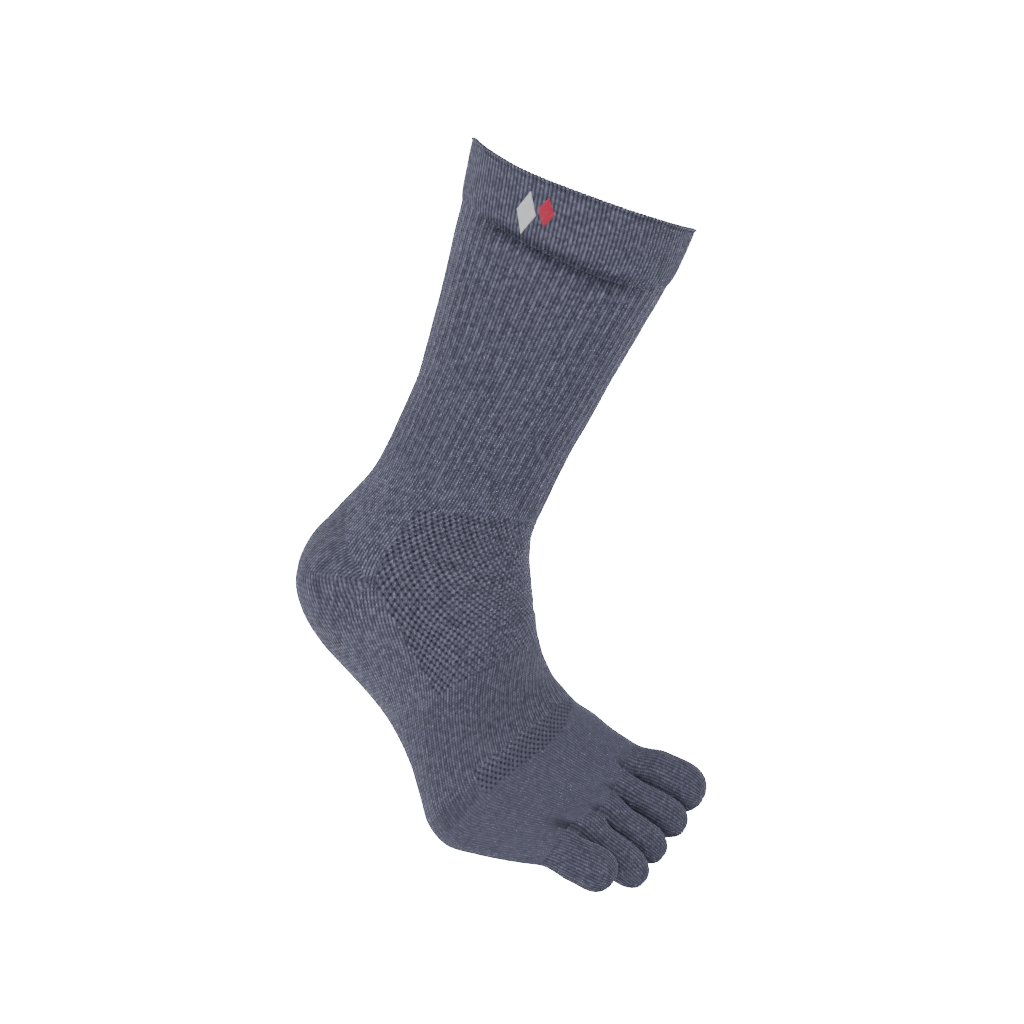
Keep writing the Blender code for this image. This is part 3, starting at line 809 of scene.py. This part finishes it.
class Shading:
    """The nodes of one material."""

    def __init__(self, name):
        self.material = bpy.data.materials.new(name)
        self.material.use_nodes = True
        self.nodes = self.material.node_tree.nodes
        self.links = self.material.node_tree.links
        self.surface = self.nodes["Principled BSDF"]

    def fill(self, node, inputs):
        """Links a node's sockets or sets their values."""
        for key, value in inputs.items():
            if isinstance(value, Maths):
                self.links.new(value.socket, node.inputs[key])
            else:
                node.inputs[key].default_value = value

    def node(self, kind, settings, inputs, output=0):
        """A node of a kind, with its settings and its sockets' values or links, as its output."""
        node = self.nodes.new(kind)
        for name, value in settings.items():
            setattr(node, name, value)
        self.fill(node, inputs)
        return Maths(self, node.outputs[output])

    def mix(self, share, first, second):
        return self.node("ShaderNodeMix", {"data_type": "RGBA"}, {0: share, 6: first, 7: second}, 2)

    def bump(self, distance, height):
        inputs = {"Strength": 1.0, "Distance": distance, "Height": height}
        return self.node("ShaderNodeBump", {}, inputs)

    def place(self):
        return self.node("ShaderNodeTexCoord", {}, {}, "Object")

    def noise(self, place, grain):
        inputs = {"Vector": place, "Scale": grain.scale, "Detail": grain.detail}
        return self.node("ShaderNodeTexNoise", {}, inputs | {"Roughness": grain.roughness})

    def attribute(self, name):
        return self.node("ShaderNodeAttribute", {"attribute_name": name}, {}, "Fac")

    def stitches(self):
        """The wale and the course at a place, counted in stitches."""
        stitches = self.node("ShaderNodeUVMap", {"uv_map": "stitches"}, {})
        return [self.node("ShaderNodeSeparateXYZ", {}, {0: stitches}, axis) for axis in (0, 1)]


def knit_finish(section, knit):
    """A section's yarn: V-shaped stitches and openwork holes in painted shade, a mottled tone and a
    soft fuzz.
    """
    crispness, brightness = FINISHES[section]
    shading = Shading(section + "_yarn")
    wale, course = shading.stitches()
    # depth carries the painted shade set on each piece's points.
    depth, openness = shading.attribute("depth"), shading.attribute("openwork")
    place = shading.place()
    stray = shading.noise(place, STRAY_GRAIN) - 0.5
    patch = shading.noise(place, PATCH_GRAIN)
    fibre = shading.noise(place, FIBRE_GRAIN)

    aside = ((wale + 0.5).fraction() - 0.5).size() * 2
    climb = course - STITCH_SLOPE * aside + STRAY_SHIFT * stray
    ridge, rise = wale.wave(), climb.wave()
    row = course * (2 * math.pi * knit.course / knit.hole_pitch)
    hole = (wale * math.pi).cosine() * row.cosine() * (0.35 + 0.65 * ridge)
    hole = ((hole + 0.25 * stray - 0.10) * 1.5).clipped() * openness
    count = {0: (wale + 0.5).whole(), 1: (climb + 0.5).whole()}
    count = shading.node("ShaderNodeCombineXYZ", {}, count)
    each = shading.node("ShaderNodeTexWhiteNoise", {"noise_dimensions": "2D"}, {"Vector": count})

    crisp = knit.contrast * crispness
    soft = crisp * (1 - OPEN_SOFTNESS * openness)
    # The stitches: a painted highlight on the ridges of wales and courses and painted shade between
    # the loops.
    tone = (1 + RIDGE_TONE * soft * (ridge - 0.5)) * (1 + RISE_TONE * soft * (rise - 0.5))
    tone = tone * (1 + crisp * (EACH_TONE * (each - 0.5) + FIBRE_TONE * (fibre - 0.5)))
    tone = tone * (1 - PATCH_TONE / 2 + PATCH_TONE * patch)
    # Painted shade: darker where the depth attribute marks hollows, creases, clefts and inner faces,
    # and in the openwork's holes.
    tone = tone * (1 - PAINTED_HOLLOW_SHADE * (1 - depth).clipped()) * (1 - PAINTED_HOLE_SHADE * hole)
    relief = (0.35 + 0.65 * ridge) * (0.45 + 0.55 * rise) * (1 - 0.5 * openness)
    relief = relief + 0.10 * fibre - hole
    tone = (tone * MIDDLE_TONE * brightness).clipped()
    # The tone mixes from the near-black painted shade colour to the colour of the lit yarn.
    shading.fill(shading.surface, {
        "Base Color": shading.mix(tone, knit.shade, knit.yarn),
        "Roughness": 0.80 + 0.14 * patch,
        "Normal": shading.bump(knit.stitch * min(0.3 + crispness, 1.0), relief),
        "Sheen Weight": knit.fuzz,
        "Sheen Roughness": 0.25,
        "Sheen Tint": FUZZ_TINT,
        "Specular IOR Level": 0.0,
    })
    return shading.material


def thread_finish(name, thread, shade):
    """Satin-stitched thread: fine parallel strands with a low gloss, and a painted shade between
    them.
    """
    shading = Shading(name)
    strand, _ = shading.stitches()
    round_it = strand.wave()
    fibre = shading.noise(shading.place(), THREAD_GRAIN)
    shading.fill(shading.surface, {
        # The strands' colour: the lit thread on their crowns and a painted shade in the gaps between
        # them.
        "Base Color": shading.mix((round_it * 0.8 + 0.3 * fibre).clipped(), shade, thread),
        "Roughness": 0.42 + 0.2 * fibre,
        "Normal": shading.bump(THREAD_RELIEF, round_it + 0.2 * fibre),
        "Sheen Weight": 0.2,
    })
    return shading.material


def floor_finish(colour):
    """The studio's matte floor, with a faint cloudiness."""
    shading = Shading("studio_floor")
    cloud = shading.noise(shading.place(), CLOUD_GRAIN)
    other = tuple(0.985 * value for value in colour[:3]) + (1.0,)
    surface = {"Base Color": shading.mix(cloud, colour, other), "Roughness": 0.9}
    shading.fill(shading.surface, surface)
    return shading.material


def length(name, description, default):
    """A setting that is a length."""
    return FloatProperty(
        name=name, description=description, default=default, unit="LENGTH", precision=5
    )


def power(name, description, default):
    """A setting that is a lamp's power."""
    return FloatProperty(name=name, description=description, default=default, min=0, unit="POWER")


def colour(name, description, default):
    """A setting that is a colour."""
    return FloatVectorProperty(
        name=name, description=description, default=default, subtype="COLOR", size=4, min=0, max=1
    )


class KnitSettings(bpy.types.PropertyGroup):
    """The gauge and relief of the knit, and its yarn."""

    wales: IntProperty(
        name="Wales", description="Columns of stitches round the sock", default=156,
        min=48, max=288, step=6,
    )
    course: length("Course", "Height of one row of stitches", 0.0012)
    hole_pitch: length("Hole pitch", "Way between two rows of openwork holes in line", 0.0036)
    wale_relief: length("Wale", "Height of one column of stitches", 0.00012)
    leg_rib: length("Leg rib", "Height of the leg's ribs", 0.00034)
    cuff_rib: length("Cuff rib", "Height of the cuff's ribs", 0.00028)
    band_rib: length("Band rib", "Height of the arch band's ribs", 0.00016)
    openwork: length("Openwork", "Depth of the openwork's dimples", 0.00040)
    stitch: length("Stitch", "Height of a stitch", 0.00035)
    uneven: length("Unevenness", "Height of the knit's slight waves", 0.00020)
    contrast: FloatProperty(
        name="Contrast", description="Strength of the light and dark in the stitches", default=1.0,
        min=0, max=2,
    )
    fuzz: FloatProperty(
        name="Fuzz", description="Strength of the yarn's soft fuzz", default=0.45, min=0, max=1
    )
    yarn: colour("Yarn", "Colour of the yarn where it is lit", (0.278, 0.282, 0.405, 1.0))
    # shade is a painted shade: the near-black colour that the yarn is drawn towards between
    # stitches, in hollows and in holes.
    shade: colour("Shade", "Colour of the yarn between stitches", (0.002, 0.002, 0.004, 1.0))


class StageSettings(bpy.types.PropertyGroup):
    """The studio: the camera's distance and frame, the floor and the lights."""

    distance: length("Distance", "Distance of the camera", 15.0)
    frame: length("Frame", "Width of the picture at the sock", 0.512)
    floor_drop: length("Floor", "Depth of the floor below the toes", 0.10)
    floor_colour: colour("Floor colour", "Colour of the floor", (0.90, 0.90, 0.90, 1.0))
    world: FloatProperty(
        name="Surround", description="Strength of the light from all sides", default=0.80, min=0
    )
    key: power("Key light", "Power of the main soft light", 18.5)
    fill: power("Fill light", "Power of the second soft light", 5.0)
    edges: power("Edge lights", "Power of each light behind a side", 24.0)
    backdrop: power("Backdrop light", "Power of the light on the backdrop", 1000.0)


def settings():
    """The settings of the knit and of the studio."""
    scene = bpy.context.scene
    return scene.toe_sock_knit, scene.toe_sock_stage


def ease_through(table, count):
    """Points on a smooth closed curve through the rows of a table."""
    rows = np.array(table, float)
    place = np.arange(count) / count * len(rows)
    i = place.astype(int)
    before, start, end, after = (rows[(i + step) % len(rows)] for step in (-1, 0, 1, 2))
    return curve((place - i)[:, None], start, (end - before) / 2, end, (after - start) / 2)


def turns_round(knit, each):
    """Places once round the sock, as shares of a turn, with so many for each wale."""
    columns = knit.wales * each
    return np.arange(columns) / columns


def dress(piece, slot, *nodes):
    """Lets a piece ride with the sock and stand for the solids that it dresses."""
    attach(piece, "root")
    if nodes:
        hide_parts(*nodes)
    return piece


def knit_ring(name, slot, at, turn, wall, relief):
    """Knits one section in the round: a face with relief, a plain inner face and two rims.

    at and turn are grids of places along the sock and round it. relief gives the height, the depth
    attribute, which is a painted shade, and the openwork attribute at places and angles.
    """
    knit, _ = settings()
    angle = WALES.angle(at, turn)
    out, base = facing(at, angle), skin(at, angle)
    height, depth, openness = relief(at, angle, turn)
    height = height + knit.uneven * unevenness(base)
    wale, course = turn * knit.wales, WALES.length(at) / knit.course
    net = Net()
    outer = net.rows(base + out * height[..., None], depth, openness)
    net.cells(outer, wale, course, knit.wales)
    rows = len(at)
    keep = np.round(np.linspace(0, rows - 1, rows // INNER_EVERY)).astype(int)
    # The inner face is darkened by a painted shade.
    inner = net.rows((base - out * wall)[keep], INNER_PAINTED_SHADE)
    net.cells(inner, wale[keep], course[keep], knit.wales, flip=True)
    net.rims(outer, inner, wale, course, knit.wales)
    dress(net.finish(name + "_knit", [knit_finish(name, knit)]), slot, name)


class KnitCuff(bpy.types.Operator):
    """Knits the turned double welt round the leg opening, with its rolled rim"""

    bl_idname = "toe_sock.cuff"
    bl_label = "Cuff"

    lean: FloatProperty(
        name="Lean", description="Wales by which the cuff's ribs lean over its height", default=-2.6
    )

    def execute(self, context):
        knit, _ = settings()
        turn = turns_round(knit, CUFF_COLUMNS)
        along, out = ease_through(WELT, ROWS["cuff"]).T[..., None]
        angle = WALES.angle(CUFF_MIDDLE, turn)
        first, last = cuff_ends(angle)
        wale = turn * knit.wales + self.lean * along
        rib = wave(wale)
        scallop = RIM_SCALLOP * (rib - 0.5) * (1 - smooth(along / RIM_SHARE))
        reach = first + (last - first) * along - scallop
        at = np.clip(reach, 0.0, None)
        angles = np.broadcast_to(angle, at.shape)
        face = facing(at, angles)
        outer = smooth((out - 0.25) / 0.3)
        crease = crease_depth(angles) * smooth((along - 0.86) / 0.13) * outer
        height = (CUFF_WALL - LEG_WALL) - CUFF_WALL * (1 - out)
        height = height + knit.cuff_rib * (rib - 0.5) * (0.3 + 0.7 * outer) - CUFF_CREASE * crease
        points = form(at, angles)
        points = points + face * (height + knit.uneven * unevenness(points))[..., None]
        slope = (form(0.1, angle) - form(0.0, angle)) / 0.1
        points = points + slope * (reach - at)[..., None]
        # Painted shade: the yarn is darker in the rib valleys, in the groove under the rolled rim,
        # in the crease under the cuff and on the welt's inner side.
        groove_shade = within(along, *GROOVE_SHADE, 0.04) * outer
        depth = (0.84 + 0.16 * rib) * (1 - 0.45 * groove_shade) * (1 - 0.75 * crease)
        net = Net()
        numbers = net.rows(points, depth * (0.55 + 0.45 * outer))
        numbers, wale = np.concatenate((numbers, numbers[:1])), np.concatenate((wale, wale[:1]))
        course = path_length(np.concatenate((points[:, 0], points[:1, 0]))) / knit.course
        net.cells(numbers, wale, course[:, None], knit.wales)
        dress(net.finish("cuff_knit", [knit_finish("cuff", knit)]), "cuff_knit", "cuff")
        return {"FINISHED"}


def border(grid):
    """The numbers round the edge of a grid, once round."""
    return np.concatenate((grid[0], grid[1:, -1], grid[-1, -2::-1], grid[-2:0:-1, 0]))


class StitchMotif(bpy.types.Operator):
    """Embroiders two plain satin-stitched lozenges on the cuff's outer side"""

    bl_idname = "toe_sock.motif"
    bl_label = "Motif"

    pad: length("Pad", "Height of the stitches", 0.0005)
    strand: length("Strand", "Width of a strand", 0.0006)

    def execute(self, context):
        knit, _ = settings()
        up = np.linspace(-1, 1, LOZENGE_ROWS)[:, None]
        side = np.linspace(-1, 1, LOZENGE_COLUMNS)[None]
        wide = np.maximum(1 - np.abs(up), 0.02)
        dome = np.sqrt(1 - side**2) * np.minimum(wide * 4, 1)
        net = Net()
        for lozenge in LOZENGES:
            at = np.broadcast_to(lozenge.at + lozenge.tall * up, dome.shape)
            angle = lozenge.angle + lozenge.wide * wide * side + lozenge.slant * up
            strand = (at - lozenge.at) * CUFF_HEIGHT / self.strand
            points, face = form(at, angle), facing(at, angle)
            base = CUFF_WALL * WELT_FACE - LEG_WALL + knit.uneven * unevenness(points)
            height = base + self.pad * dome * (0.65 + 0.35 * wave(strand)) + PAD_CLEAR
            top = net.rows(points + face * height[..., None])
            net.cells(top, strand, side)
            under = net.rows(points + face * (base - PAD_SUNK)[..., None])
            net.cells(under, strand, side, flip=True)
            net.cells(np.stack((border(under), border(top))), 0.0, 0.0, 0.0)
        piece = net.finish("cuff_motif", [thread_finish(*thread) for thread in THREADS])
        half = len(piece.data.polygons) // 2
        piece.data.polygons.foreach_set("material_index", [0] * half + [1] * half)
        dress(piece, "cuff_knit")
        return {"FINISHED"}


class KnitLeg(bpy.types.Operator):
    """Knits the ribbed tube of the leg"""

    bl_idname = "toe_sock.leg"
    bl_label = "Leg"

    def execute(self, context):
        knit, _ = settings()
        turn = turns_round(knit, COLUMNS)
        round_leg = WALES.angle(LEG_TOP, turn)
        edge = cuff_ends(round_leg)[1]
        first = edge - LEG_TUCKED
        crease = crease_depth(round_leg)
        at = first + (ANKLE - first) * np.linspace(0, 1, ROWS["leg"])[:, None] ** LEG_CROWDING

        def relief(at, angle, turn):
            line, fine = wave(turn * knit.wales / 3) ** 3, wave(turn * knit.wales)
            fade = 1 - smooth((at - ANKLE + LEG_FADE) / LEG_FADE)
            tuck = crease * np.exp(-(((at - edge) / CREASE_WIDTH) ** 2))
            height = knit.leg_rib * fade * (line - 0.3) + knit.wale_relief * (fine - 0.5)
            # depth is a painted shade: darker between the ribs and in the crease under the cuff.
            depth = 0.84 + 0.55 * (line - 0.3) * fade
            return height - LEG_CREASE * tuck, depth * (1 - 0.80 * tuck), 0.0

        knit_ring("leg", "leg_knit", at, np.broadcast_to(turn, at.shape), LEG_WALL, relief)
        return {"FINISHED"}


class KnitHeel(bpy.types.Operator):
    """Knits the heel cup, whose wales turn at the gore line"""

    bl_idname = "toe_sock.heel"
    bl_label = "Heel"

    def execute(self, context):
        knit, _ = settings()
        side = HEEL_AROUND - HEEL_GAP
        angle = np.linspace(-side, side, HEEL_COLUMNS + 1)
        upper, lower = heel_edges(angle)
        at = upper + (lower - upper) * np.linspace(0, 1, ROWS["heel"])[:, None]
        angles = np.broadcast_to(angle, at.shape)
        out, base = facing(at, angles), skin(at, angles)
        turned = np.abs(angles) / HEEL_AROUND
        below = WALES.length(at) - WALES.length(GORE - GORE_ABOVE + GORE_DROP * turned)
        gore = np.exp(-((below / GORE_WIDTH) ** 2)) * (1 - 0.8 * smooth(turned * 1.6))
        aside = turned * HEEL_AROUND / 360 * HEEL_GIRTH
        wale, course = (
            each.aside * aside + np.where(below < 0, each.above, each.below) * np.abs(below)
            for each in (HEEL_WALES, HEEL_COURSES)
        )
        height = knit.uneven * unevenness(base) - GORE_DEPTH * gore
        height = height + knit.wale_relief * (wave(wale) - 0.5)
        net = Net()
        # The depth is a painted shade, darker along the gore line's valley.
        outer = net.rows(base + out * height[..., None], 0.94 - 0.40 * gore)
        net.cells(outer, wale, course)
        keep = np.arange(0, ROWS["heel"], HEEL_INNER_EVERY)
        # The heel's inner face is darkened by a painted shade.
        inner = net.rows((base - out * HEEL_WALL)[keep], INNER_PAINTED_SHADE)
        net.cells(inner, wale[keep], course[keep], flip=True)
        net.rims(outer, inner, wale, course)
        for column, order in ((0, -1), (-1, 1)):
            rim = np.stack((outer[keep, column], inner[:, column])[::order], 1)
            net.cells(rim, wale[keep][:, [column] * 2], course[keep][:, [column] * 2])
        dress(net.finish("heel_knit", [knit_finish("heel", knit)]), "heel_knit", "heel")
        return {"FINISHED"}


def foot_relief(at, angle, turn):
    """The relief of the foot and its painted shade: openwork on the ankle and instep, a ribbed band,
    and plain knit.
    """
    knit, _ = settings()
    wale = turn * knit.wales
    opened = openwork(at, angle)
    band = arch_band(at, angle) * (1 - np.minimum(opened * 2, 1))
    lattice = np.cos(math.pi * wale) * np.cos(2 * math.pi * WALES.length(at) / knit.hole_pitch)
    dimple = smooth((lattice + 0.2) / 1.2)
    rib, fine = wave(wale / 2), wave(wale)
    height = knit.band_rib * (rib - 0.5) * band - knit.openwork * dimple * opened
    height = height + knit.wale_relief * (fine - 0.5) * (1 - opened)
    # depth is a painted shade: darker in the openwork's dimples, between the arch band's ribs and in
    # the clefts between the toes.
    depth = 0.94 - 0.30 * dimple * opened - (0.08 + 0.20 * (1 - rib)) * band
    return height, depth * (1 - 0.55 * np.minimum(cleft_depth(at, angle) / CLEFT_DARK, 1)), opened


class KnitFoot(bpy.types.Operator):
    """Knits the rings of the foot: the ankle, rear foot, arch band and forefoot"""

    bl_idname = "toe_sock.foot"
    bl_label = "Foot"

    def execute(self, context):
        knit, _ = settings()
        turn = turns_round(knit, COLUMNS)
        upper, lower = heel_edges(WALES.angle(GORE, turn))
        ends = {
            "ankle": (ANKLE, upper),
            "rear_foot": (lower, ARCH),
            "arch": (ARCH, REAR_BALL),
            "forefoot": (REAR_BALL, TOE_LINE),
        }
        for name, (first, last) in ends.items():
            at = first + (last - first) * np.linspace(0, 1, ROWS[name])[:, None]
            knit_ring(name, "foot_knit", *np.broadcast_arrays(at, turn), FOOT_WALL, foot_relief)
        return {"FINISHED"}


def pocket_root(number, fine):
    """The outline where a toe pocket begins, and the way on from the foot at each of its points."""
    low, high = CROTCHES[number], CROTCHES[number + 1]

    def row(angles):
        points = skin(TOE_LINE, angles)
        return points, unit(points - skin(TOE_LINE - ROOT_BACK, angles))

    def web(start, end):
        share = np.linspace(0, 1, fine // 2 + 1)[1:-1, None]
        points = start + (end - start) * share
        return points, np.broadcast_to(TOE_ONWARD, points.shape)

    if 0 < number < len(TOES) - 1:
        shares = low + (high - low) * np.linspace(0, 1, fine + 1)
        over = row([angle_of(share, True) for share in shares])
        under = row([angle_of(share, False) for share in shares[::-1]])
        parts = over, web(over[0][-1], under[0][0]), under, web(under[0][-1], over[0][0])
    else:
        ends = angle_of(high, False), angle_of(high, True)
        if number:
            ends = angle_of(low, True), angle_of(low, False)
        around = row(np.linspace(*ends, 2 * fine + 1))
        parts = around, web(around[0][-1], around[0][0])
    return (np.concatenate(values) for values in zip(*parts))


def pocket_girth(along):
    """A toe pocket's girth along its reach, closing in a rounded end."""
    body = 1.0 + TOE_SWELL * smooth((along - 0.3) / 0.4)
    end = np.clip((along - TOE_BODY) / (1 - TOE_BODY), 0.0, 1.0)
    return body * (1 - end**TOE_END) ** TOE_ROUND


class KnitToes(bpy.types.Operator):
    """Knits the closed toe pockets, with their closing seams"""

    bl_idname = "toe_sock.toes"
    bl_label = "Toe pockets"

    rows: IntProperty(name="Rows", description="Rows of quads along a pocket", default=96, min=48)
    fine: IntProperty(
        name="Columns", description="Columns of quads over a pocket", default=44, min=8
    )

    def execute(self, context):
        knit, _ = settings()
        finish = knit_finish("toe", knit)
        for number, toe in enumerate(TOES):
            net = self.close(knit, *self.rings(number))
            dress(net.finish(toe.name + "_knit", [finish]), "toe_knit", toe.name)
        return {"FINISHED"}

    def rings(self, number):
        """A pocket's outer rings, its tip, the turns round it and the places along it."""
        toe = TOES[number]
        root, directions = pocket_root(number, self.fine)
        sideways, forward = TOE_SIDEWAYS, TOE_FORWARD
        sides = root @ sideways
        middle = root.mean(axis=0)
        middle = middle + sideways * ((sides.max() + sides.min()) / 2 - middle @ sideways)
        half_width = np.ptp(sides) / 2 * POCKET_WIDER
        half_height = toe.height * TOE_HEIGHT / 2 * POCKET_HIGHER
        splay, lift, droop = (math.radians(value) for value in (toe.splay, toe.lift, toe.droop))
        towards = unit(TOE_ONWARD + math.tan(splay) * sideways + math.tan(lift) * forward)
        beside = unit(sideways - towards * (sideways @ towards))
        above = np.cross(towards, beside)
        above = above * np.sign(above @ forward)
        reach = toe.reach * TOE_REACH
        offsets = root - middle
        turns = np.arctan2(
            offsets @ forward / np.ptp(root @ forward), offsets @ sideways / (2 * half_width)
        )
        body = np.linspace(0, TOE_BODY, self.rows - TIP_ROWS)
        quarter = np.linspace(0, math.pi / 2, TIP_ROWS + 2)[1:-1]
        along = np.concatenate((body, TOE_BODY + (1 - TOE_BODY) * np.sin(quarter)))
        bend = droop * along**2
        down = above * np.cos(bend)[:, None] + towards * np.sin(bend)[:, None]
        sunk = reach * along * np.tan(bend) / 2
        centre = middle + (reach * along)[:, None] * towards - sunk[:, None] * above
        girth = pocket_girth(along)[:, None]
        full = (
            centre[:, None]
            + (np.cos(turns) * half_width * girth)[..., None] * beside
            + (np.sin(turns) * half_height * girth)[..., None] * down[:, None]
        )
        joined = int(round(np.interp(TOE_JOIN, along, np.arange(len(along)))))
        share = np.clip(along / TOE_JOIN, 0, 1)[:, None, None]
        span = reach * TOE_JOIN
        eased = curve(share, root, span * directions, full[joined], span * towards)
        points = np.where(along[:, None, None] < along[joined], eased, full)
        tip = middle + towards * reach - above * (reach * math.tan(droop) / 2)
        return points, tip, turns, along

    def close(self, knit, points, tip, turns, along):
        """Turns a pocket's outer rings into a thick wall with a closed tip and its seam."""
        count = points.shape[1]
        stack = np.concatenate((points, np.repeat(tip[None, None], count, axis=1)))
        around = np.roll(stack, -1, axis=1) - np.roll(stack, 1, axis=1)
        out = unit(np.cross(np.gradient(stack, axis=0), around))
        inward = (out * (stack - stack.mean(axis=1, keepdims=True))).sum(axis=2, keepdims=True) < 0
        out = np.where(inward, -out, out)[:-1]
        ring = points[len(points) // 2]
        girth = path_length(np.concatenate((ring, ring[:1])))
        wales = max(int(round(girth[-1] / TOE_WALE / 2)) * 2, 8)
        wale = girth[:-1] / girth[-1] * wales
        course = path_length(points.mean(axis=1)) / knit.course
        seam = np.exp(-((np.sin(turns - SEAM_TURN) * SEAM_NARROWNESS) ** 2))
        seam = seam * smooth((along - 0.70) / 0.25)[:, None]
        bead = wave(path_length(points[:, 0])[:, None] / BEAD_PITCH)
        height = knit.uneven * 0.6 * unevenness(points) + seam * BEAD_HEIGHT * bead
        height = height + knit.wale_relief * 1.6 * (wave(wale) - 0.5)
        corner = points[0, 0]
        flipped = np.cross(points[1, 0] - corner, points[0, 1] - corner) @ out[0, 0] < 0
        net = Net()
        # The depth is a painted shade: darker between the seam's beads, on the inner face and at the
        # tip's caps.
        front = net.rows(points + out * height[..., None], 0.94 - 0.75 * seam * (1 - bead))
        net.cells(front, wale, course[:, None], wales, flip=flipped)
        keep = np.round(np.linspace(0, len(along) - 1, TOE_INNER_ROWS)).astype(int)
        back = net.rows((points - TOE_WALL * out)[keep], 0.5)
        net.cells(back, wale, course[keep, None], wales, flip=not flipped)
        net.cells(np.stack((back[0], front[0])), wale, 0.0, wales, flip=flipped)
        inner_tip = tip - unit(tip - points[-1].mean(axis=0)) * TOE_WALL
        for face, point, turned in ((front, tip, flipped), (back, inner_tip, not flipped)):
            cap = net.rows(point[None, None], 0.8)
            fan = np.concatenate((face[-1:], np.repeat(cap, count, axis=1)))
            net.cells(fan, wale, course[-1] + np.array([[0.0], [1.0]]), wales, flip=turned)
        return net


class SetStage(bpy.types.Operator):
    """Sets the plain pale floor, the soft lights and the camera"""

    bl_idname = "toe_sock.stage"
    bl_label = "Studio"

    def execute(self, context):
        _, stage = settings()
        centre = np.array(PICTURE_MIDDLE)
        floor = SOLID_BOX[0][2] - stage.floor_drop
        self.camera(context, stage, centre)
        self.backdrop(floor, tuple(stage.floor_colour))
        self.surround(context, stage)
        for lamp in LAMPS:
            strength = getattr(stage, lamp.power)
            self.light(context, lamp.name, centre + lamp.place, centre, lamp.width, strength)
        turn = math.radians(SWEEP_AIM)
        middle = np.array((centre[0], SWEEP_START, floor + SWEEP_RADIUS))
        aim = middle + SWEEP_RADIUS * np.array((0.0, math.sin(turn), -math.cos(turn)))
        light = self.light(context, "backdrop_light", middle, aim, 1.2, stage.backdrop)
        light.spread = math.radians(90)
        return {"FINISHED"}

    def camera(self, context, stage, centre):
        """A camera that looks along +Y at the outer side of the foot."""
        lens = bpy.data.cameras.new("camera")
        lens.sensor_width = 36.0
        lens.lens = lens.sensor_width * stage.distance / stage.frame
        lens.clip_end = 200.0
        camera = bpy.data.objects.new("camera", lens)
        camera.location = centre - (0.0, stage.distance, 0.0)
        camera.rotation_euler = (math.radians(90), 0.0, 0.0)
        context.scene.collection.objects.link(camera)
        context.scene.camera = camera

    def backdrop(self, height, colour):
        """A pale floor that sweeps up into a wall behind the sock."""
        bend = np.radians(np.linspace(0, SWEEP_BEND, 21))
        level = np.linspace(FLOOR_NEAR, SWEEP_START, 9)[:-1]
        across = np.linspace(-FLOOR_SIDE, FLOOR_SIDE, 9)
        depth = np.concatenate((level, SWEEP_START + SWEEP_RADIUS * np.sin(bend)))[:, None]
        rise = np.concatenate((0.0 * level, SWEEP_RADIUS * (1 - np.cos(bend))))[:, None]
        points = np.stack(np.broadcast_arrays(across, depth, height + rise), -1)
        net = Net()
        net.cells(net.rows(points), across, np.arange(len(depth))[:, None], flip=True)
        net.finish("studio_floor", [floor_finish(colour)])

    def surround(self, context, stage):
        """Even white light from all sides."""
        world = bpy.data.worlds.new("studio")
        world.use_nodes = True
        inputs = world.node_tree.nodes["Background"].inputs
        inputs["Color"].default_value = (1.0, 1.0, 1.0, 1.0)
        inputs["Strength"].default_value = stage.world
        context.scene.world = world

    def light(self, context, name, place, target, size, power):
        """A round soft light that shines at a target."""
        lamp = bpy.data.lights.new(name, "AREA")
        lamp.shape = "DISK"
        lamp.size = size
        lamp.energy = power
        light = bpy.data.objects.new(name, lamp)
        light.location = place
        x, y, z = target - place
        tilt, turn = math.atan2(math.hypot(x, y), -z), math.atan2(y, x)
        light.rotation_euler = (tilt, 0.0, turn - math.pi / 2)
        context.scene.collection.objects.link(light)
        return lamp


OPERATORS = (KnitCuff, StitchMotif, KnitLeg, KnitHeel, KnitFoot, KnitToes, SetStage)


class SockPanel(bpy.types.Panel):
    """The sock's settings and the operators that knit it"""

    bl_idname = "VIEW3D_PT_toe_sock"
    bl_label = "Toe Sock"
    bl_space_type = "VIEW_3D"
    bl_region_type = "UI"
    bl_category = "Toe Sock"

    def draw(self, context):
        for group in settings():
            for name in group.bl_rna.properties.keys():
                if name not in ("rna_type", "name"):
                    self.layout.prop(group, name)
        for operator in OPERATORS:
            self.layout.operator(operator.bl_idname)


CLASSES = (KnitSettings, StageSettings, *OPERATORS, SockPanel)


def register():
    for item in CLASSES:
        bpy.utils.register_class(item)
    bpy.types.Scene.toe_sock_knit = PointerProperty(type=KnitSettings)
    bpy.types.Scene.toe_sock_stage = PointerProperty(type=StageSettings)


def unregister():
    del bpy.types.Scene.toe_sock_stage
    del bpy.types.Scene.toe_sock_knit
    for item in reversed(CLASSES):
        bpy.utils.unregister_class(item)


def main():
    register()
    for operator in OPERATORS:
        group, name = operator.bl_idname.split(".")
        getattr(getattr(bpy.ops, group), name)()
    bpy.context.view_layer.update()


if __name__ == "__main__":
    main()
